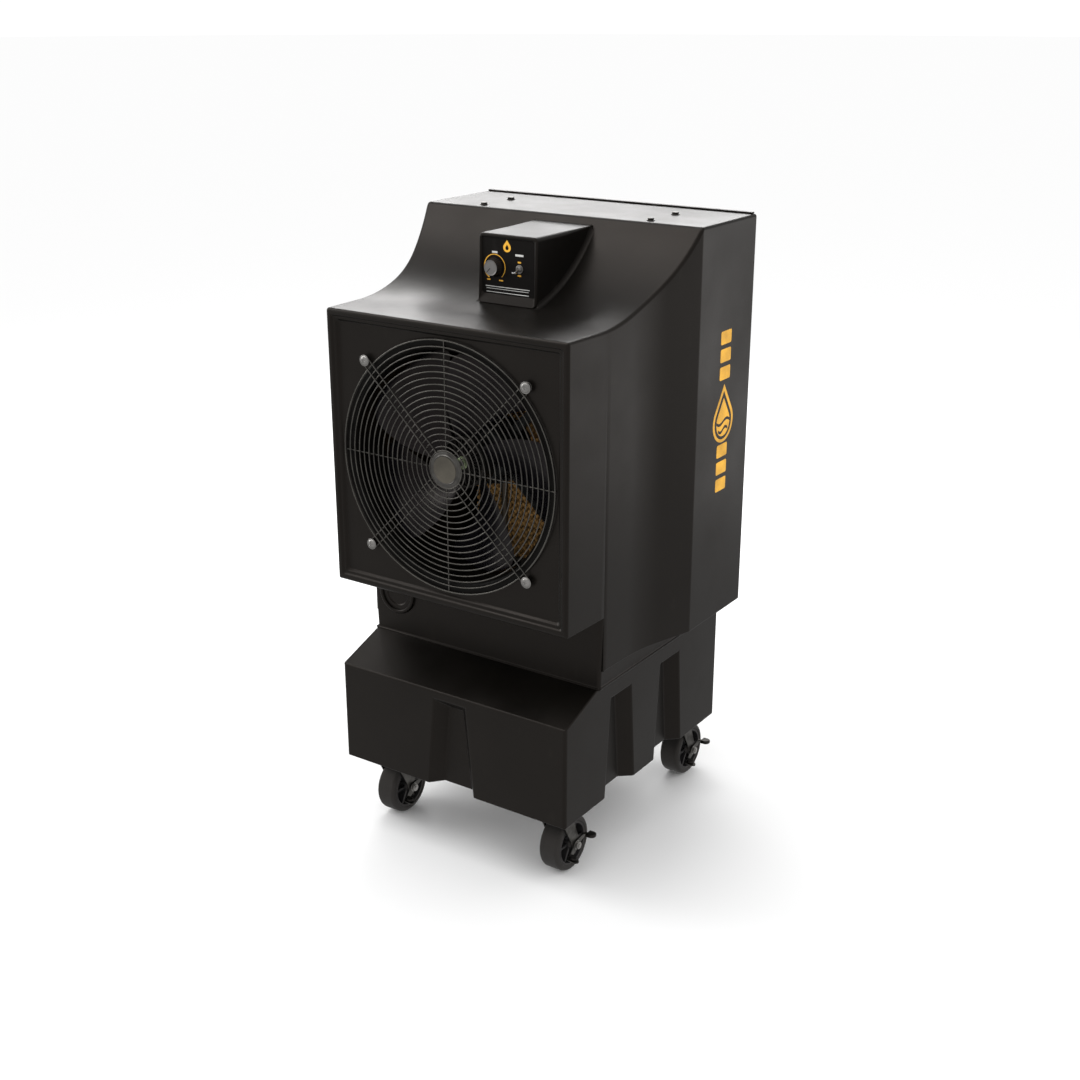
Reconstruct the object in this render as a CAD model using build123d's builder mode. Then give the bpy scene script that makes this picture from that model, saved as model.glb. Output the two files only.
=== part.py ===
from build123d import *
import os
from math import cos, radians, sin, sqrt

# Portable evaporative cooler on four casters. X is to the right, Y to the back, Z up, and the floor is Z = 0.
# Every Y distance below is measured from the front face, and FRONT places that face in the frame.

# Driving dimensions, in millimetres
WALL = 5.0                      # rotomoulded wall

# casters
WHEEL_R = 63.5
TYRE_WIDTH = 50.0
CASTER_X = 227.0                # swivel axes, from the centre plane
CASTER_INSET = 66.0             # swivel axes, from the tank's front and back
TRAIL = 40.0                    # wheel axle behind the swivel axis

# base tank
TANK_HALF = 299.0
TANK_DEPTH = 660.0
TANK_BOTTOM = 164.0
TANK_FRONT_TOP = 395.0
DECK_Z = 441.0
SHELF_DEPTH = 126.0

# upper housing
FACE_HALF = 300.0
FACE_BOTTOM = 600.0
FACE_TOP = 1202.0
RIM_Z = 479.0                   # lower rim of the flared sides
TOP_Z = 1368.0
SCOOP_START = 107.0
SCOOP_END = 415.0
PAD_HALF = 353.4                # half width of the housing around the pad
PAD_FRONT = 419.0               # front edge of the pad housing
HOUSING_DEPTH = 657.0
LIP = 12.0                      # rounded lip around the recessed fan panel
PANEL_Y = 11.0                  # depth of the fan panel

# fan
FAN_Z = 901.5
THROAT_R = 243.0
BLADE_R = 236.0
BLADE_COUNT = 5
HUB_R = 55.0
HUB_Y = 62.0
HUB_LENGTH = 44.0
SHAFT_R = 6.0
MOTOR_R = 66.0
MOTOR_Y = 122.0
MOTOR_LENGTH = 120.0

# fan guard
GUARD_Y = 6.0
WIRE_R = 1.4
OUTER_RING_R = 267.3
RING_R = 48.6
RING_STEP = 12.8
RING_COUNT = 17
SCREW_XZ = 201.0                # guard screws, from the fan axis along X and along Z

# control box
BOX_X0 = -44.0
BOX_X1 = 97.0
BOX_Y = 196.0
BOX_BOTTOM = 1219.0
BOX_TOP = 1353.0
BEZEL = 7.0
PLATE_SINK = 2.0
KNOB_X = -9.6
KNOB_Z = 1285.0
TOGGLE_X = 52.0
TOGGLE_Z = 1286.0
TOGGLE_REST = 18.0              # lever's tilt below level, in degrees

# evaporative pad and water path
PAD_Y = 540.0
PAD_THICK = 100.0
PAD_WIDTH = 636.0
PAD_Z0 = 500.0
PAD_Z1 = 1325.0
OPENING_HALF = 330.0
OPENING_Z0 = 500.0
OPENING_Z1 = 1345.0
PIPE_R = 9.0
PIPE_Z = 1342.0
PIPE_Y = 590.0
PUMP_X = -190.0
PUMP_Y = 480.0
PUMP_R = 42.0
PUMP_TOP = 262.0
INLET_X = 200.0
INLET_Z = 400.0
DRAIN_Z = 196.0

GAP = 0.4                       # running gap between separate bodies
SCREW_PROUD = 3.24              # guard screws stand this far out of the front face
FRONT = (SCREW_PROUD - (TANK_DEPTH - CASTER_INSET + TRAIL + WHEEL_R)) / 2


def facing_front(distance):
    """A plane that faces the front, at a distance behind the front face, with local y as Z."""
    return Plane(origin=(0, FRONT + distance, 0), x_dir=(1, 0, 0), z_dir=(0, -1, 0))


def on_fan_axis(distance):
    """A plane that faces the front with its origin on the fan's axis."""
    return Plane(origin=(0, FRONT + distance, FAN_Z), x_dir=(1, 0, 0), z_dir=(0, -1, 0))


def across(x):
    """A plane that faces +X, with local x as Y from the front face and local y as Z."""
    return Plane(origin=(x, FRONT, 0), x_dir=(0, 1, 0), z_dir=(1, 0, 0))


def save(name, part):
    """Labels a finished piece and writes it under its own name."""
    part.label = name
    export_step(part, f"parts/{name}.step")


os.makedirs("parts", exist_ok=True)


# Upper housing

BEND_Y = 275.0                  # where the sides start to flare
BEND_HALF = 311.0
BEND_R = 380.0
EDGE_R = 6.0
NECK_R = 18.0
NECK_BACK = 640.0
RIM_FRONT = 136.0


def housing_block(inset):
    """The housing's outer shape, or the same shape drawn in by a wall."""
    with BuildPart() as block:
        with BuildSketch(Plane.XY.offset(RIM_Z)):
            with BuildLine():
                Polyline(
                    (0, FRONT),
                    (FACE_HALF, FRONT),
                    (BEND_HALF, FRONT + BEND_Y),
                    (PAD_HALF, FRONT + PAD_FRONT),
                    (PAD_HALF, FRONT + HOUSING_DEPTH),
                    (0, FRONT + HOUSING_DEPTH),
                )
                mirror(about=Plane.YZ)
            plan = make_face()
            fillet(plan.vertices().group_by(Axis.Y)[1], BEND_R)
            if inset:
                offset(amount=-inset, kind=Kind.INTERSECTION, mode=Mode.REPLACE)
        extrude(amount=TOP_Z - RIM_Z)
        with BuildSketch(across(0)):
            with BuildLine():
                Line((0, FACE_BOTTOM), (0, FACE_TOP))
                Line((0, FACE_TOP), (SCOOP_START, FACE_TOP))
                TangentArc((SCOOP_START, FACE_TOP), (SCOOP_END, TOP_Z), tangent=(1, 0))
                Line((SCOOP_END, TOP_Z), (HOUSING_DEPTH, TOP_Z))
                Line((HOUSING_DEPTH, TOP_Z), (HOUSING_DEPTH, RIM_Z))
                Line((HOUSING_DEPTH, RIM_Z), (RIM_FRONT, RIM_Z))
                Line((RIM_FRONT, RIM_Z), (RIM_FRONT, FACE_BOTTOM))
                Line((RIM_FRONT, FACE_BOTTOM), (0, FACE_BOTTOM))
            make_face()
            if inset:
                offset(amount=-inset, kind=Kind.INTERSECTION, mode=Mode.REPLACE)
        extrude(amount=PAD_HALF, both=True, mode=Mode.INTERSECT)
    return block.part


def neck_block(inset, top):
    """The neck that stands on the tank's deck and closes the housing under the fan."""
    depth = NECK_BACK - SHELF_DEPTH
    with BuildPart() as block:
        with BuildSketch(Plane.XY.offset(DECK_Z)):
            with Locations((0, FRONT + SHELF_DEPTH + depth / 2)):
                RectangleRounded(2 * (TANK_HALF - inset), depth - 2 * inset, NECK_R - inset)
        extrude(amount=top - DECK_Z)
    return block.part


with BuildPart() as housing_solid:
    add(housing_block(0))
    fillet(housing_solid.edges().filter_by(Axis.Z), EDGE_R)
housing_inside = housing_block(WALL)
neck_outside = neck_block(0, FACE_BOTTOM)
neck_inside = neck_block(WALL, FACE_BOTTOM + WALL)

PANEL_BACK = PANEL_Y + WALL     # seam between the fan panel and the housing
REAR_LIP = 4.0

with BuildPart() as upper_housing:
    add(housing_solid.part)
    split(bisect_by=facing_front(PANEL_BACK), keep=Keep.BOTTOM)
    add(housing_inside, mode=Mode.SUBTRACT)
    add(neck_outside, mode=Mode.SUBTRACT)
    add(neck_inside, mode=Mode.SUBTRACT)
    # raised lip along the back of the top
    with BuildSketch(Plane.XY.offset(TOP_Z)):
        with Locations((0, FRONT + HOUSING_DEPTH - EDGE_R)):
            Rectangle(2 * (PAD_HALF - EDGE_R), 2 * EDGE_R)
    extrude(amount=REAR_LIP)
    # opening for the pad, at the back
    with BuildSketch(facing_front(HOUSING_DEPTH - 2 * WALL)):
        with Locations((0, (OPENING_Z0 + OPENING_Z1) / 2)):
            Rectangle(2 * OPENING_HALF, OPENING_Z1 - OPENING_Z0)
    extrude(amount=-3 * WALL, mode=Mode.SUBTRACT)
save("upper_housing", upper_housing.part)

STEP_IN = 10.0                  # ledge between the recess's two steps
STEP_Y = 4.5
BOSS_R = 8.0
BOSS_GAP = 3 * WIRE_R + 0.1     # the bosses end just behind the guard's rear wires
RING_LIP_R = 268.0

with BuildPart() as fan_panel:
    add(housing_solid.part)
    split(bisect_by=facing_front(PANEL_BACK), keep=Keep.TOP)
    # stepped recess inside the lip
    with BuildSketch(facing_front(0)):
        with Locations((0, FAN_Z)):
            RectangleRounded(2 * (FACE_HALF - LIP), 2 * (FACE_HALF - LIP), EDGE_R)
    extrude(amount=-STEP_Y, mode=Mode.SUBTRACT)
    with BuildSketch(facing_front(0)):
        with Locations((0, FAN_Z)):
            RectangleRounded(2 * (FACE_HALF - LIP - STEP_IN), 2 * (FACE_HALF - LIP - STEP_IN), EDGE_R)
    extrude(amount=-PANEL_Y, mode=Mode.SUBTRACT)
    # fan opening, filled by the ring's flange
    with BuildSketch(on_fan_axis(0)):
        Circle(RING_LIP_R)
    extrude(amount=-2 * PANEL_BACK, mode=Mode.SUBTRACT)
    # bosses for the guard screws
    with BuildSketch(on_fan_axis(PANEL_Y)):
        with GridLocations(2 * SCREW_XZ, 2 * SCREW_XZ, 2, 2):
            Circle(BOSS_R)
    extrude(amount=PANEL_Y - GUARD_Y - BOSS_GAP)
save("fan_panel", fan_panel.part)

PORT_X = -237.0
PORT_Z = 537.5
PORT_R = 48.5
PORT_HEIGHT = 7.0

with BuildPart() as housing_neck:
    add(neck_outside)
    add(neck_inside, mode=Mode.SUBTRACT)
    add(housing_inside, mode=Mode.SUBTRACT)
    # round port in the front wall
    with BuildSketch(facing_front(SHELF_DEPTH)):
        with Locations((PORT_X, PORT_Z)):
            Circle(PORT_R)
    extrude(amount=PORT_HEIGHT)
    with BuildSketch(facing_front(SHELF_DEPTH - PORT_HEIGHT)):
        with Locations((PORT_X, PORT_Z)):
            Circle(PORT_R - 2 * WALL)
    extrude(amount=-2 * PORT_HEIGHT - WALL, mode=Mode.SUBTRACT)
save("housing_neck", housing_neck.part)


# Base tank

GROOVE_DEPTH = 28.0
GROOVE_FLARE = 23.5             # how much wider the groove's mouth is than its floor, on each side
GROOVE_HALF_TOP = 42.0
GROOVE_HALF_BOTTOM = 62.0
SIDE_GROOVE_TOP = 399.0
FRONT_GROOVE_TOP = 377.0
SIDE_GROOVE_Y = (220.0, 432.0)
SUMP_HALF = 282.0               # opening in the deck, under the neck
SUMP_FRONT = 144.0
SUMP_BACK = 622.0
HOSE_R = 13.2                   # outside of a 3/4 in garden hose thread
HOSE_LENGTH = 16.0
INLET_BORE = 9.0
DRAIN_R = 12.0


def groove(plane, top, grow):
    """A drafted groove cut in from the plane and open at the bottom, with local y as Z."""
    below = TANK_BOTTOM - 2 * grow - WALL
    half_top = GROOVE_HALF_TOP + grow
    half_bottom = GROOVE_HALF_BOTTOM + grow
    with BuildPart() as block:
        for level, narrower in ((0, 0), (GROOVE_DEPTH + grow, GROOVE_FLARE)):
            with BuildSketch(plane.offset(-level)):
                Polygon(
                    (half_top - narrower, top + grow - narrower),
                    (narrower - half_top, top + grow - narrower),
                    (narrower - half_bottom, below),
                    (half_bottom - narrower, below),
                    align=None,
                )
        loft()
    return block.part


def groove_planes():
    """Where the tank's grooves are: one in the front wall and two in each side wall."""
    places = [(Plane(origin=(0, FRONT, 0), x_dir=(1, 0, 0), z_dir=(0, -1, 0)), FRONT_GROOVE_TOP)]
    for side in (-1, 1):
        for y in SIDE_GROOVE_Y:
            wall = Plane(origin=(side * TANK_HALF, FRONT + y, 0), x_dir=(0, side, 0), z_dir=(side, 0, 0))
            places.append((wall, SIDE_GROOVE_TOP))
    return places


grooves = [groove(plane, top, 0) for plane, top in groove_planes()]
groove_walls = [groove(plane, top, WALL) for plane, top in groove_planes()]

with BuildPart() as tank_water:
    with BuildSketch(across(0)):
        Polygon(
            (WALL, TANK_BOTTOM + WALL),
            (WALL, TANK_FRONT_TOP - WALL),
            (SHELF_DEPTH, DECK_Z - WALL),
            (TANK_DEPTH - WALL, DECK_Z - WALL),
            (TANK_DEPTH - WALL, TANK_BOTTOM + WALL),
            align=None,
        )
    extrude(amount=TANK_HALF - WALL, both=True)
    for wall in groove_walls:
        add(wall, mode=Mode.SUBTRACT)

with BuildPart() as base_tank:
    with BuildSketch(across(0)):
        Polygon(
            (0, TANK_BOTTOM),
            (0, TANK_FRONT_TOP),
            (SHELF_DEPTH, DECK_Z),
            (TANK_DEPTH, DECK_Z),
            (TANK_DEPTH, TANK_BOTTOM),
            align=None,
        )
    extrude(amount=TANK_HALF, both=True)
    fillet(base_tank.edges().filter_by(Axis.Z), EDGE_R)
    for cut in grooves:
        add(cut, mode=Mode.SUBTRACT)
    add(tank_water.part, mode=Mode.SUBTRACT)
    with BuildSketch(Plane.XY.offset(DECK_Z)):
        with Locations((0, FRONT + (SUMP_FRONT + SUMP_BACK) / 2)):
            RectangleRounded(2 * SUMP_HALF, SUMP_BACK - SUMP_FRONT, NECK_R)
    extrude(amount=-2 * WALL, mode=Mode.SUBTRACT)
    # holes for the hose inlet and the drain, in the back wall
    with BuildSketch(facing_front(TANK_DEPTH)):
        with Locations((INLET_X, INLET_Z)):
            Circle(INLET_BORE)
        with Locations((0, DRAIN_Z)):
            Circle(DRAIN_R)
    extrude(amount=2 * WALL, mode=Mode.SUBTRACT)
save("base_tank", base_tank.part)


# Fan panel: venturi ring, guard and screws

RING_FRONT = 10.5
FLANGE_THICK = 3.0
RING_BACK = 108.0
FLANGE_BACK = RING_FRONT + FLANGE_THICK
RING_WALL = 3.0
BELL_R = 15.0

with BuildPart() as venturi_ring:
    with BuildSketch(Plane.XY):
        with BuildLine():
            Line((THROAT_R, RING_BACK), (THROAT_R, RING_FRONT + BELL_R))
            TangentArc((THROAT_R, RING_FRONT + BELL_R), (THROAT_R + BELL_R, RING_FRONT), tangent=(0, -1))
            Line((THROAT_R + BELL_R, RING_FRONT), (RING_LIP_R, RING_FRONT))
            Line((RING_LIP_R, RING_FRONT), (RING_LIP_R, FLANGE_BACK))
            Line((RING_LIP_R, FLANGE_BACK), (THROAT_R + BELL_R, FLANGE_BACK))
            Line((THROAT_R + BELL_R, FLANGE_BACK), (THROAT_R + RING_WALL, RING_FRONT + BELL_R))
            Line((THROAT_R + RING_WALL, RING_FRONT + BELL_R), (THROAT_R + RING_WALL, RING_BACK))
            Line((THROAT_R + RING_WALL, RING_BACK), (THROAT_R, RING_BACK))
        make_face()
    revolve(axis=Axis.Y)
venturi_ring_placed = venturi_ring.part.moved(Location((0, FRONT, FAN_Z)))
save("venturi_ring", venturi_ring_placed)

SPOKE_Y = GUARD_Y + 2 * WIRE_R
PAIR_Y = GUARD_Y - 2 * WIRE_R
PAIR_HALF = 9.0                 # half the distance between the two wires of a diagonal pair
BADGE_R = 30.0
BADGE_THICK = 3.0
HUB_RING_R = 40.0
SCREW_REACH = sqrt(2) * SCREW_XZ
WIRE_GAP = 0.02                 # welded wires touch; the gap keeps their solids apart


def guard_spoke(angle):
    """A straight wire behind the rings, from the hub ring to the outer ring."""
    with BuildPart() as wire:
        with BuildSketch(Plane(origin=(HUB_RING_R, 0, 0), x_dir=(0, 1, 0), z_dir=(1, 0, 0))):
            Circle(WIRE_R)
        extrude(amount=OUTER_RING_R - HUB_RING_R)
    return wire.part.moved(Location((0, FRONT + SPOKE_Y + WIRE_GAP, FAN_Z), (0, angle, 0)))


def guard_loop(distance, angle):
    """A pair of wires that runs out to a screw and loops around it."""
    with BuildPart() as wire:
        with BuildLine():
            Line((HUB_RING_R, 0, PAIR_HALF), (SCREW_REACH, 0, PAIR_HALF))
            ThreePointArc(
                (SCREW_REACH, 0, PAIR_HALF), (SCREW_REACH + PAIR_HALF, 0, 0), (SCREW_REACH, 0, -PAIR_HALF)
            )
            Line((SCREW_REACH, 0, -PAIR_HALF), (HUB_RING_R, 0, -PAIR_HALF))
        with BuildSketch(Plane(origin=(HUB_RING_R, 0, PAIR_HALF), x_dir=(0, 1, 0), z_dir=(1, 0, 0))):
            Circle(WIRE_R)
        sweep()
    return wire.part.moved(Location((0, FRONT + distance, FAN_Z), (0, angle, 0)))


guard_wires = [guard_spoke(angle) for angle in (0, 90, 180, 270)]
guard_wires += [guard_loop(PAIR_Y - WIRE_GAP, angle) for angle in (45, 225)]
guard_wires += [guard_loop(SPOKE_Y + WIRE_GAP, angle) for angle in (135, 315)]

ring_radii = [HUB_RING_R] + [RING_R + RING_STEP * index for index in range(RING_COUNT)] + [OUTER_RING_R]

with BuildPart() as fan_guard:
    for radius in ring_radii:
        with Locations(on_fan_axis(GUARD_Y)):
            Torus(radius, WIRE_R)
    for wire in guard_wires:
        add(wire)
save("fan_guard", fan_guard.part)

with BuildPart() as guard_badge:
    with BuildSketch(on_fan_axis(PAIR_Y - WIRE_R)):
        Circle(BADGE_R)
    extrude(amount=-BADGE_THICK)
    fillet(guard_badge.edges().group_by(Axis.Y)[0], 1.0)
    # backing disc, inside the hub ring
    with BuildSketch(on_fan_axis(PAIR_Y - WIRE_R + BADGE_THICK)):
        Circle(HUB_RING_R - WIRE_R - 0.1)
    extrude(amount=-BADGE_THICK / 2)
save("guard_badge", guard_badge.part)

SCREW_HEAD_R = 12.0
SCREW_HEAD = 5.0
SCREW_R = 3.0
SCREW_FACE = PAIR_Y - WIRE_R - 2 * WIRE_GAP

with BuildPart() as guard_screws:
    with BuildSketch(on_fan_axis(SCREW_FACE)):
        with GridLocations(2 * SCREW_XZ, 2 * SCREW_XZ, 2, 2):
            Circle(SCREW_HEAD_R)
    extrude(amount=SCREW_HEAD)
    fillet(guard_screws.edges().group_by(Axis.Y)[0], SCREW_HEAD / 2)
    with BuildSketch(on_fan_axis(SCREW_FACE)):
        with GridLocations(2 * SCREW_XZ, 2 * SCREW_XZ, 2, 2):
            Circle(SCREW_R)
    extrude(amount=SCREW_FACE - GUARD_Y - BOSS_GAP)
save("guard_screws", guard_screws.part)


# Fan and motor

ROOT_CHORD = 78.0
ROOT_SWEEP = -29.0              # the root lies to one side of the tip
TIP_CHORD = 214.0
ROOT_PITCH = 34.0
TIP_PITCH = 17.0
BLADE_THICK = 3.0
FAN_MID = HUB_Y + HUB_LENGTH / 2


def blade(angle):
    """One twisted blade, trimmed to the fan's outer circle and to the hub."""
    with BuildPart() as block:
        for radius, sweep_x, chord, pitch in (
            (HUB_R - WALL, ROOT_SWEEP, ROOT_CHORD, ROOT_PITCH),
            (BLADE_R + 2 * WALL, 0, TIP_CHORD, TIP_PITCH),
        ):
            section = Plane(
                origin=(sweep_x, 0, radius), x_dir=(cos(radians(pitch)), sin(radians(pitch)), 0), z_dir=(0, 0, 1)
            )
            with BuildSketch(section):
                Rectangle(chord, BLADE_THICK)
        loft()
        with BuildSketch(Plane(origin=(0, -2 * HUB_R, 0), z_dir=(0, 1, 0))):
            Circle(BLADE_R)
            Circle(HUB_R, mode=Mode.SUBTRACT)
        extrude(amount=4 * HUB_R, mode=Mode.INTERSECT)
    return block.part.moved(Location((0, FRONT + FAN_MID, FAN_Z), (0, angle, 0)))


for index in range(BLADE_COUNT):
    blade_angle = -45 + index * 360 / BLADE_COUNT
    save(f"fan_blade_{index + 1}", blade(blade_angle))

with BuildPart() as fan_hub:
    with BuildSketch(on_fan_axis(HUB_Y)):
        Circle(HUB_R)
        Circle(SHAFT_R, mode=Mode.SUBTRACT)
    extrude(amount=-HUB_LENGTH)
    chamfer(fan_hub.faces().sort_by(Axis.Y)[0].outer_wire().edges(), 4.0)
save("fan_hub", fan_hub.part)

SHAFT_END = 90.0                # how far the shaft reaches into the motor

with BuildPart() as motor_shaft:
    with BuildSketch(on_fan_axis(HUB_Y - 4)):
        Circle(SHAFT_R)
    extrude(amount=-(MOTOR_Y + SHAFT_END - HUB_Y + 4))
save("motor_shaft", motor_shaft.part)

MOTOR_BELL = 8.0

with BuildPart() as motor_body:
    with BuildSketch(on_fan_axis(MOTOR_Y)):
        Circle(MOTOR_R)
    extrude(amount=-MOTOR_LENGTH)
    fillet(motor_body.edges(), MOTOR_BELL)
    # cooling ribs around the middle
    with BuildSketch(on_fan_axis(MOTOR_Y + 3 * MOTOR_BELL)):
        with PolarLocations(MOTOR_R, 24):
            Rectangle(6, 3)
    extrude(amount=-(MOTOR_LENGTH - 6 * MOTOR_BELL))
    with BuildSketch(on_fan_axis(MOTOR_Y)):
        Circle(SHAFT_R + 0.05)
    extrude(amount=-(SHAFT_END + MOTOR_BELL), mode=Mode.SUBTRACT)
save("motor_body", motor_body.part)

ARM_WIDTH = 22.0
ARM_THICK = 4.0
BAND_Y = MOTOR_Y + MOTOR_LENGTH / 2
ARM_R = 272.0
FOOT_R = 12.0
BAND_R = MOTOR_R + 3 + GAP      # clears the motor's ribs

with BuildPart() as motor_bracket:
    with BuildSketch(on_fan_axis(BAND_Y - ARM_WIDTH / 2)):
        Circle(BAND_R + ARM_THICK)
        Circle(BAND_R, mode=Mode.SUBTRACT)
    extrude(amount=-ARM_WIDTH)
    with BuildSketch(on_fan_axis(BAND_Y - ARM_THICK / 2)):
        with PolarLocations((BAND_R + ARM_R) / 2 + ARM_THICK / 2, 4, start_angle=45):
            Rectangle(ARM_R - BAND_R - ARM_THICK / 2, ARM_WIDTH)
    extrude(amount=-ARM_THICK)
    with BuildSketch(on_fan_axis(PANEL_Y + WALL)):
        with PolarLocations(ARM_R, 4, start_angle=45):
            Circle(FOOT_R)
    extrude(amount=-(BAND_Y + ARM_THICK / 2 - PANEL_Y - WALL))
save("motor_bracket", motor_bracket.part)


# Control box

BOX_BACK = 400.0
PLATE_THICK = 3.0
CORNER_R = 8.0
BOX_MID = (BOX_X0 + BOX_X1) / 2
BOX_WIDTH = BOX_X1 - BOX_X0
BOX_MIDDLE_Z = (BOX_BOTTOM + BOX_TOP) / 2
BOX_HEIGHT = BOX_TOP - BOX_BOTTOM
BUSHING_R = 6.0
KNOB_SHAFT_R = 3.0

with BuildPart() as control_box:
    with BuildSketch(facing_front(BOX_Y)):
        with Locations((BOX_MID, BOX_MIDDLE_Z)):
            RectangleRounded(BOX_WIDTH, BOX_HEIGHT, CORNER_R)
    extrude(amount=-(BOX_BACK - BOX_Y))
    fillet(control_box.edges().group_by(Axis.Y)[0], 3.0)
    with BuildSketch(facing_front(BOX_Y)):
        with Locations((BOX_MID, BOX_MIDDLE_Z)):
            RectangleRounded(BOX_WIDTH - 2 * BEZEL, BOX_HEIGHT - 2 * BEZEL, CORNER_R / 2)
    extrude(amount=-(BOX_BACK - BOX_Y - 60), mode=Mode.SUBTRACT)
    add(housing_solid.part, mode=Mode.SUBTRACT)
save("control_box", control_box.part)

with BuildPart() as control_panel:
    with BuildSketch(facing_front(BOX_Y + PLATE_SINK)):
        with Locations((BOX_MID, BOX_MIDDLE_Z)):
            RectangleRounded(BOX_WIDTH - 2 * BEZEL, BOX_HEIGHT - 2 * BEZEL, CORNER_R / 2)
        with Locations((KNOB_X, KNOB_Z)):
            Circle(KNOB_SHAFT_R + GAP, mode=Mode.SUBTRACT)
        with Locations((TOGGLE_X, TOGGLE_Z)):
            Circle(BUSHING_R, mode=Mode.SUBTRACT)
    extrude(amount=-PLATE_THICK)
save("control_panel", control_panel.part)

KNOB_BASE_R = 20.0
KNOB_TOP_R = 17.0
KNOB_HEIGHT = 14.0
CAP_R = 15.6
CAP_THICK = 1.5
KNOB_BACK = BOX_Y + PLATE_SINK - GAP

with BuildPart() as speed_knob:
    with BuildSketch(facing_front(KNOB_BACK)):
        with Locations((KNOB_X, KNOB_Z)):
            Circle(KNOB_BASE_R)
    with BuildSketch(facing_front(KNOB_BACK - KNOB_HEIGHT)):
        with Locations((KNOB_X, KNOB_Z)):
            Circle(KNOB_TOP_R)
    loft()
    with BuildSketch(facing_front(KNOB_BACK)):
        with Locations((KNOB_X, KNOB_Z)):
            Circle(KNOB_SHAFT_R)
    extrude(amount=-(PLATE_THICK + 5))
save("speed_knob", speed_knob.part)

with BuildPart() as speed_knob_cap:
    with BuildSketch(facing_front(KNOB_BACK - KNOB_HEIGHT)):
        with Locations((KNOB_X, KNOB_Z)):
            Circle(CAP_R)
            with Locations((-CAP_R * 0.45, -CAP_R * 0.45)):
                Rectangle(CAP_R * 0.9, 1.6, rotation=45, mode=Mode.SUBTRACT)
    extrude(amount=CAP_THICK)
save("speed_knob_cap", speed_knob_cap.part)

NUT_R = 8.4
BUSHING_BORE = 4.0
LEVER_R = 2.2
LEVER_TIP_R = 3.2
LEVER_LENGTH = 21.0
PIVOT_DEPTH = 2.0               # lever's pivot, behind the plate's face
TOGGLE_Y = BOX_Y + PLATE_SINK

with BuildPart() as toggle_bushing:
    with BuildSketch(facing_front(TOGGLE_Y + PLATE_THICK)):
        with Locations((TOGGLE_X, TOGGLE_Z)):
            Circle(BUSHING_R)
    extrude(amount=PLATE_THICK)
    with BuildSketch(facing_front(TOGGLE_Y)):
        with Locations((TOGGLE_X, TOGGLE_Z)):
            RegularPolygon(NUT_R, 6)
    extrude(amount=2.5)
    with BuildSketch(facing_front(TOGGLE_Y - 2.5)):
        with Locations((TOGGLE_X, TOGGLE_Z)):
            Circle(BUSHING_R - 0.5)
    extrude(amount=1.5)
    # body of the switch behind the plate
    with BuildSketch(facing_front(TOGGLE_Y + PLATE_THICK)):
        with Locations((TOGGLE_X, TOGGLE_Z)):
            Rectangle(18, 28)
    extrude(amount=-22)
    with BuildSketch(facing_front(TOGGLE_Y - 4)):
        with Locations((TOGGLE_X, TOGGLE_Z)):
            Circle(BUSHING_BORE + 1)
    with BuildSketch(facing_front(TOGGLE_Y + PIVOT_DEPTH + 5)):
        with Locations((TOGGLE_X, TOGGLE_Z)):
            Circle(BUSHING_BORE)
    loft(mode=Mode.SUBTRACT)
save("toggle_bushing", toggle_bushing.part)

toggle_pivot = Location((TOGGLE_X, FRONT + TOGGLE_Y + PIVOT_DEPTH, TOGGLE_Z), (TOGGLE_REST, 0, 0))
with BuildPart() as toggle_lever:
    Sphere(LEVER_R + 1)
    with BuildSketch(Plane(origin=(0, 0, 0), x_dir=(1, 0, 0), z_dir=(0, -1, 0))):
        Circle(LEVER_R)
    with BuildSketch(Plane(origin=(0, -LEVER_LENGTH, 0), x_dir=(1, 0, 0), z_dir=(0, -1, 0))):
        Circle(LEVER_TIP_R)
    loft()
    fillet(toggle_lever.edges().group_by(Axis.Y)[0], 1.5)
save("toggle_lever", toggle_lever.part.moved(toggle_pivot))


# Small pieces of the housing

TOP_BOLT_X = 214.0
TOP_BOLT_Y = (444.0, 548.0)
TOP_BOLT_R = 8.0
TOP_BOLT_HEAD = 4.0

with BuildPart() as top_bolts:
    with BuildSketch(Plane.XY.offset(TOP_Z)):
        for y in TOP_BOLT_Y:
            for side in (-1, 1):
                with Locations((side * TOP_BOLT_X, FRONT + y)):
                    Circle(TOP_BOLT_R)
    extrude(amount=TOP_BOLT_HEAD)
    fillet(top_bolts.edges().group_by(Axis.Z)[-1], TOP_BOLT_HEAD / 2)
save("top_bolts", top_bolts.part)

PORT_CAP_R = PORT_R - 2 * WALL

with BuildPart() as port_cap:
    with BuildSketch(facing_front(SHELF_DEPTH + 2)):
        with Locations((PORT_X, PORT_Z)):
            Circle(PORT_CAP_R)
    extrude(amount=-3)
    with BuildSketch(facing_front(SHELF_DEPTH + 2)):
        with Locations((PORT_X, PORT_Z)):
            Circle(PORT_CAP_R)
            Circle(PORT_CAP_R - 4, mode=Mode.SUBTRACT)
    extrude(amount=4)
save("port_cap", port_cap.part)


# Pad, its frame and the water pipe

with BuildPart() as evaporative_pad:
    with BuildSketch(Plane.XY.offset(PAD_Z0)):
        with Locations((0, FRONT + PAD_Y + PAD_THICK / 2)):
            Rectangle(PAD_WIDTH, PAD_THICK)
    extrude(amount=PAD_Z1 - PAD_Z0)
save("evaporative_pad", evaporative_pad.part)

FRAME_BORDER = 18.0
FRAME_LAP = 8.0                 # how far the frame reaches behind the housing's back wall
FRAME_Y = PAD_Y + PAD_THICK
FRAME_THICK = HOUSING_DEPTH - WALL - FRAME_Y - 0.5
OPENING_HEIGHT = OPENING_Z1 - OPENING_Z0

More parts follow.
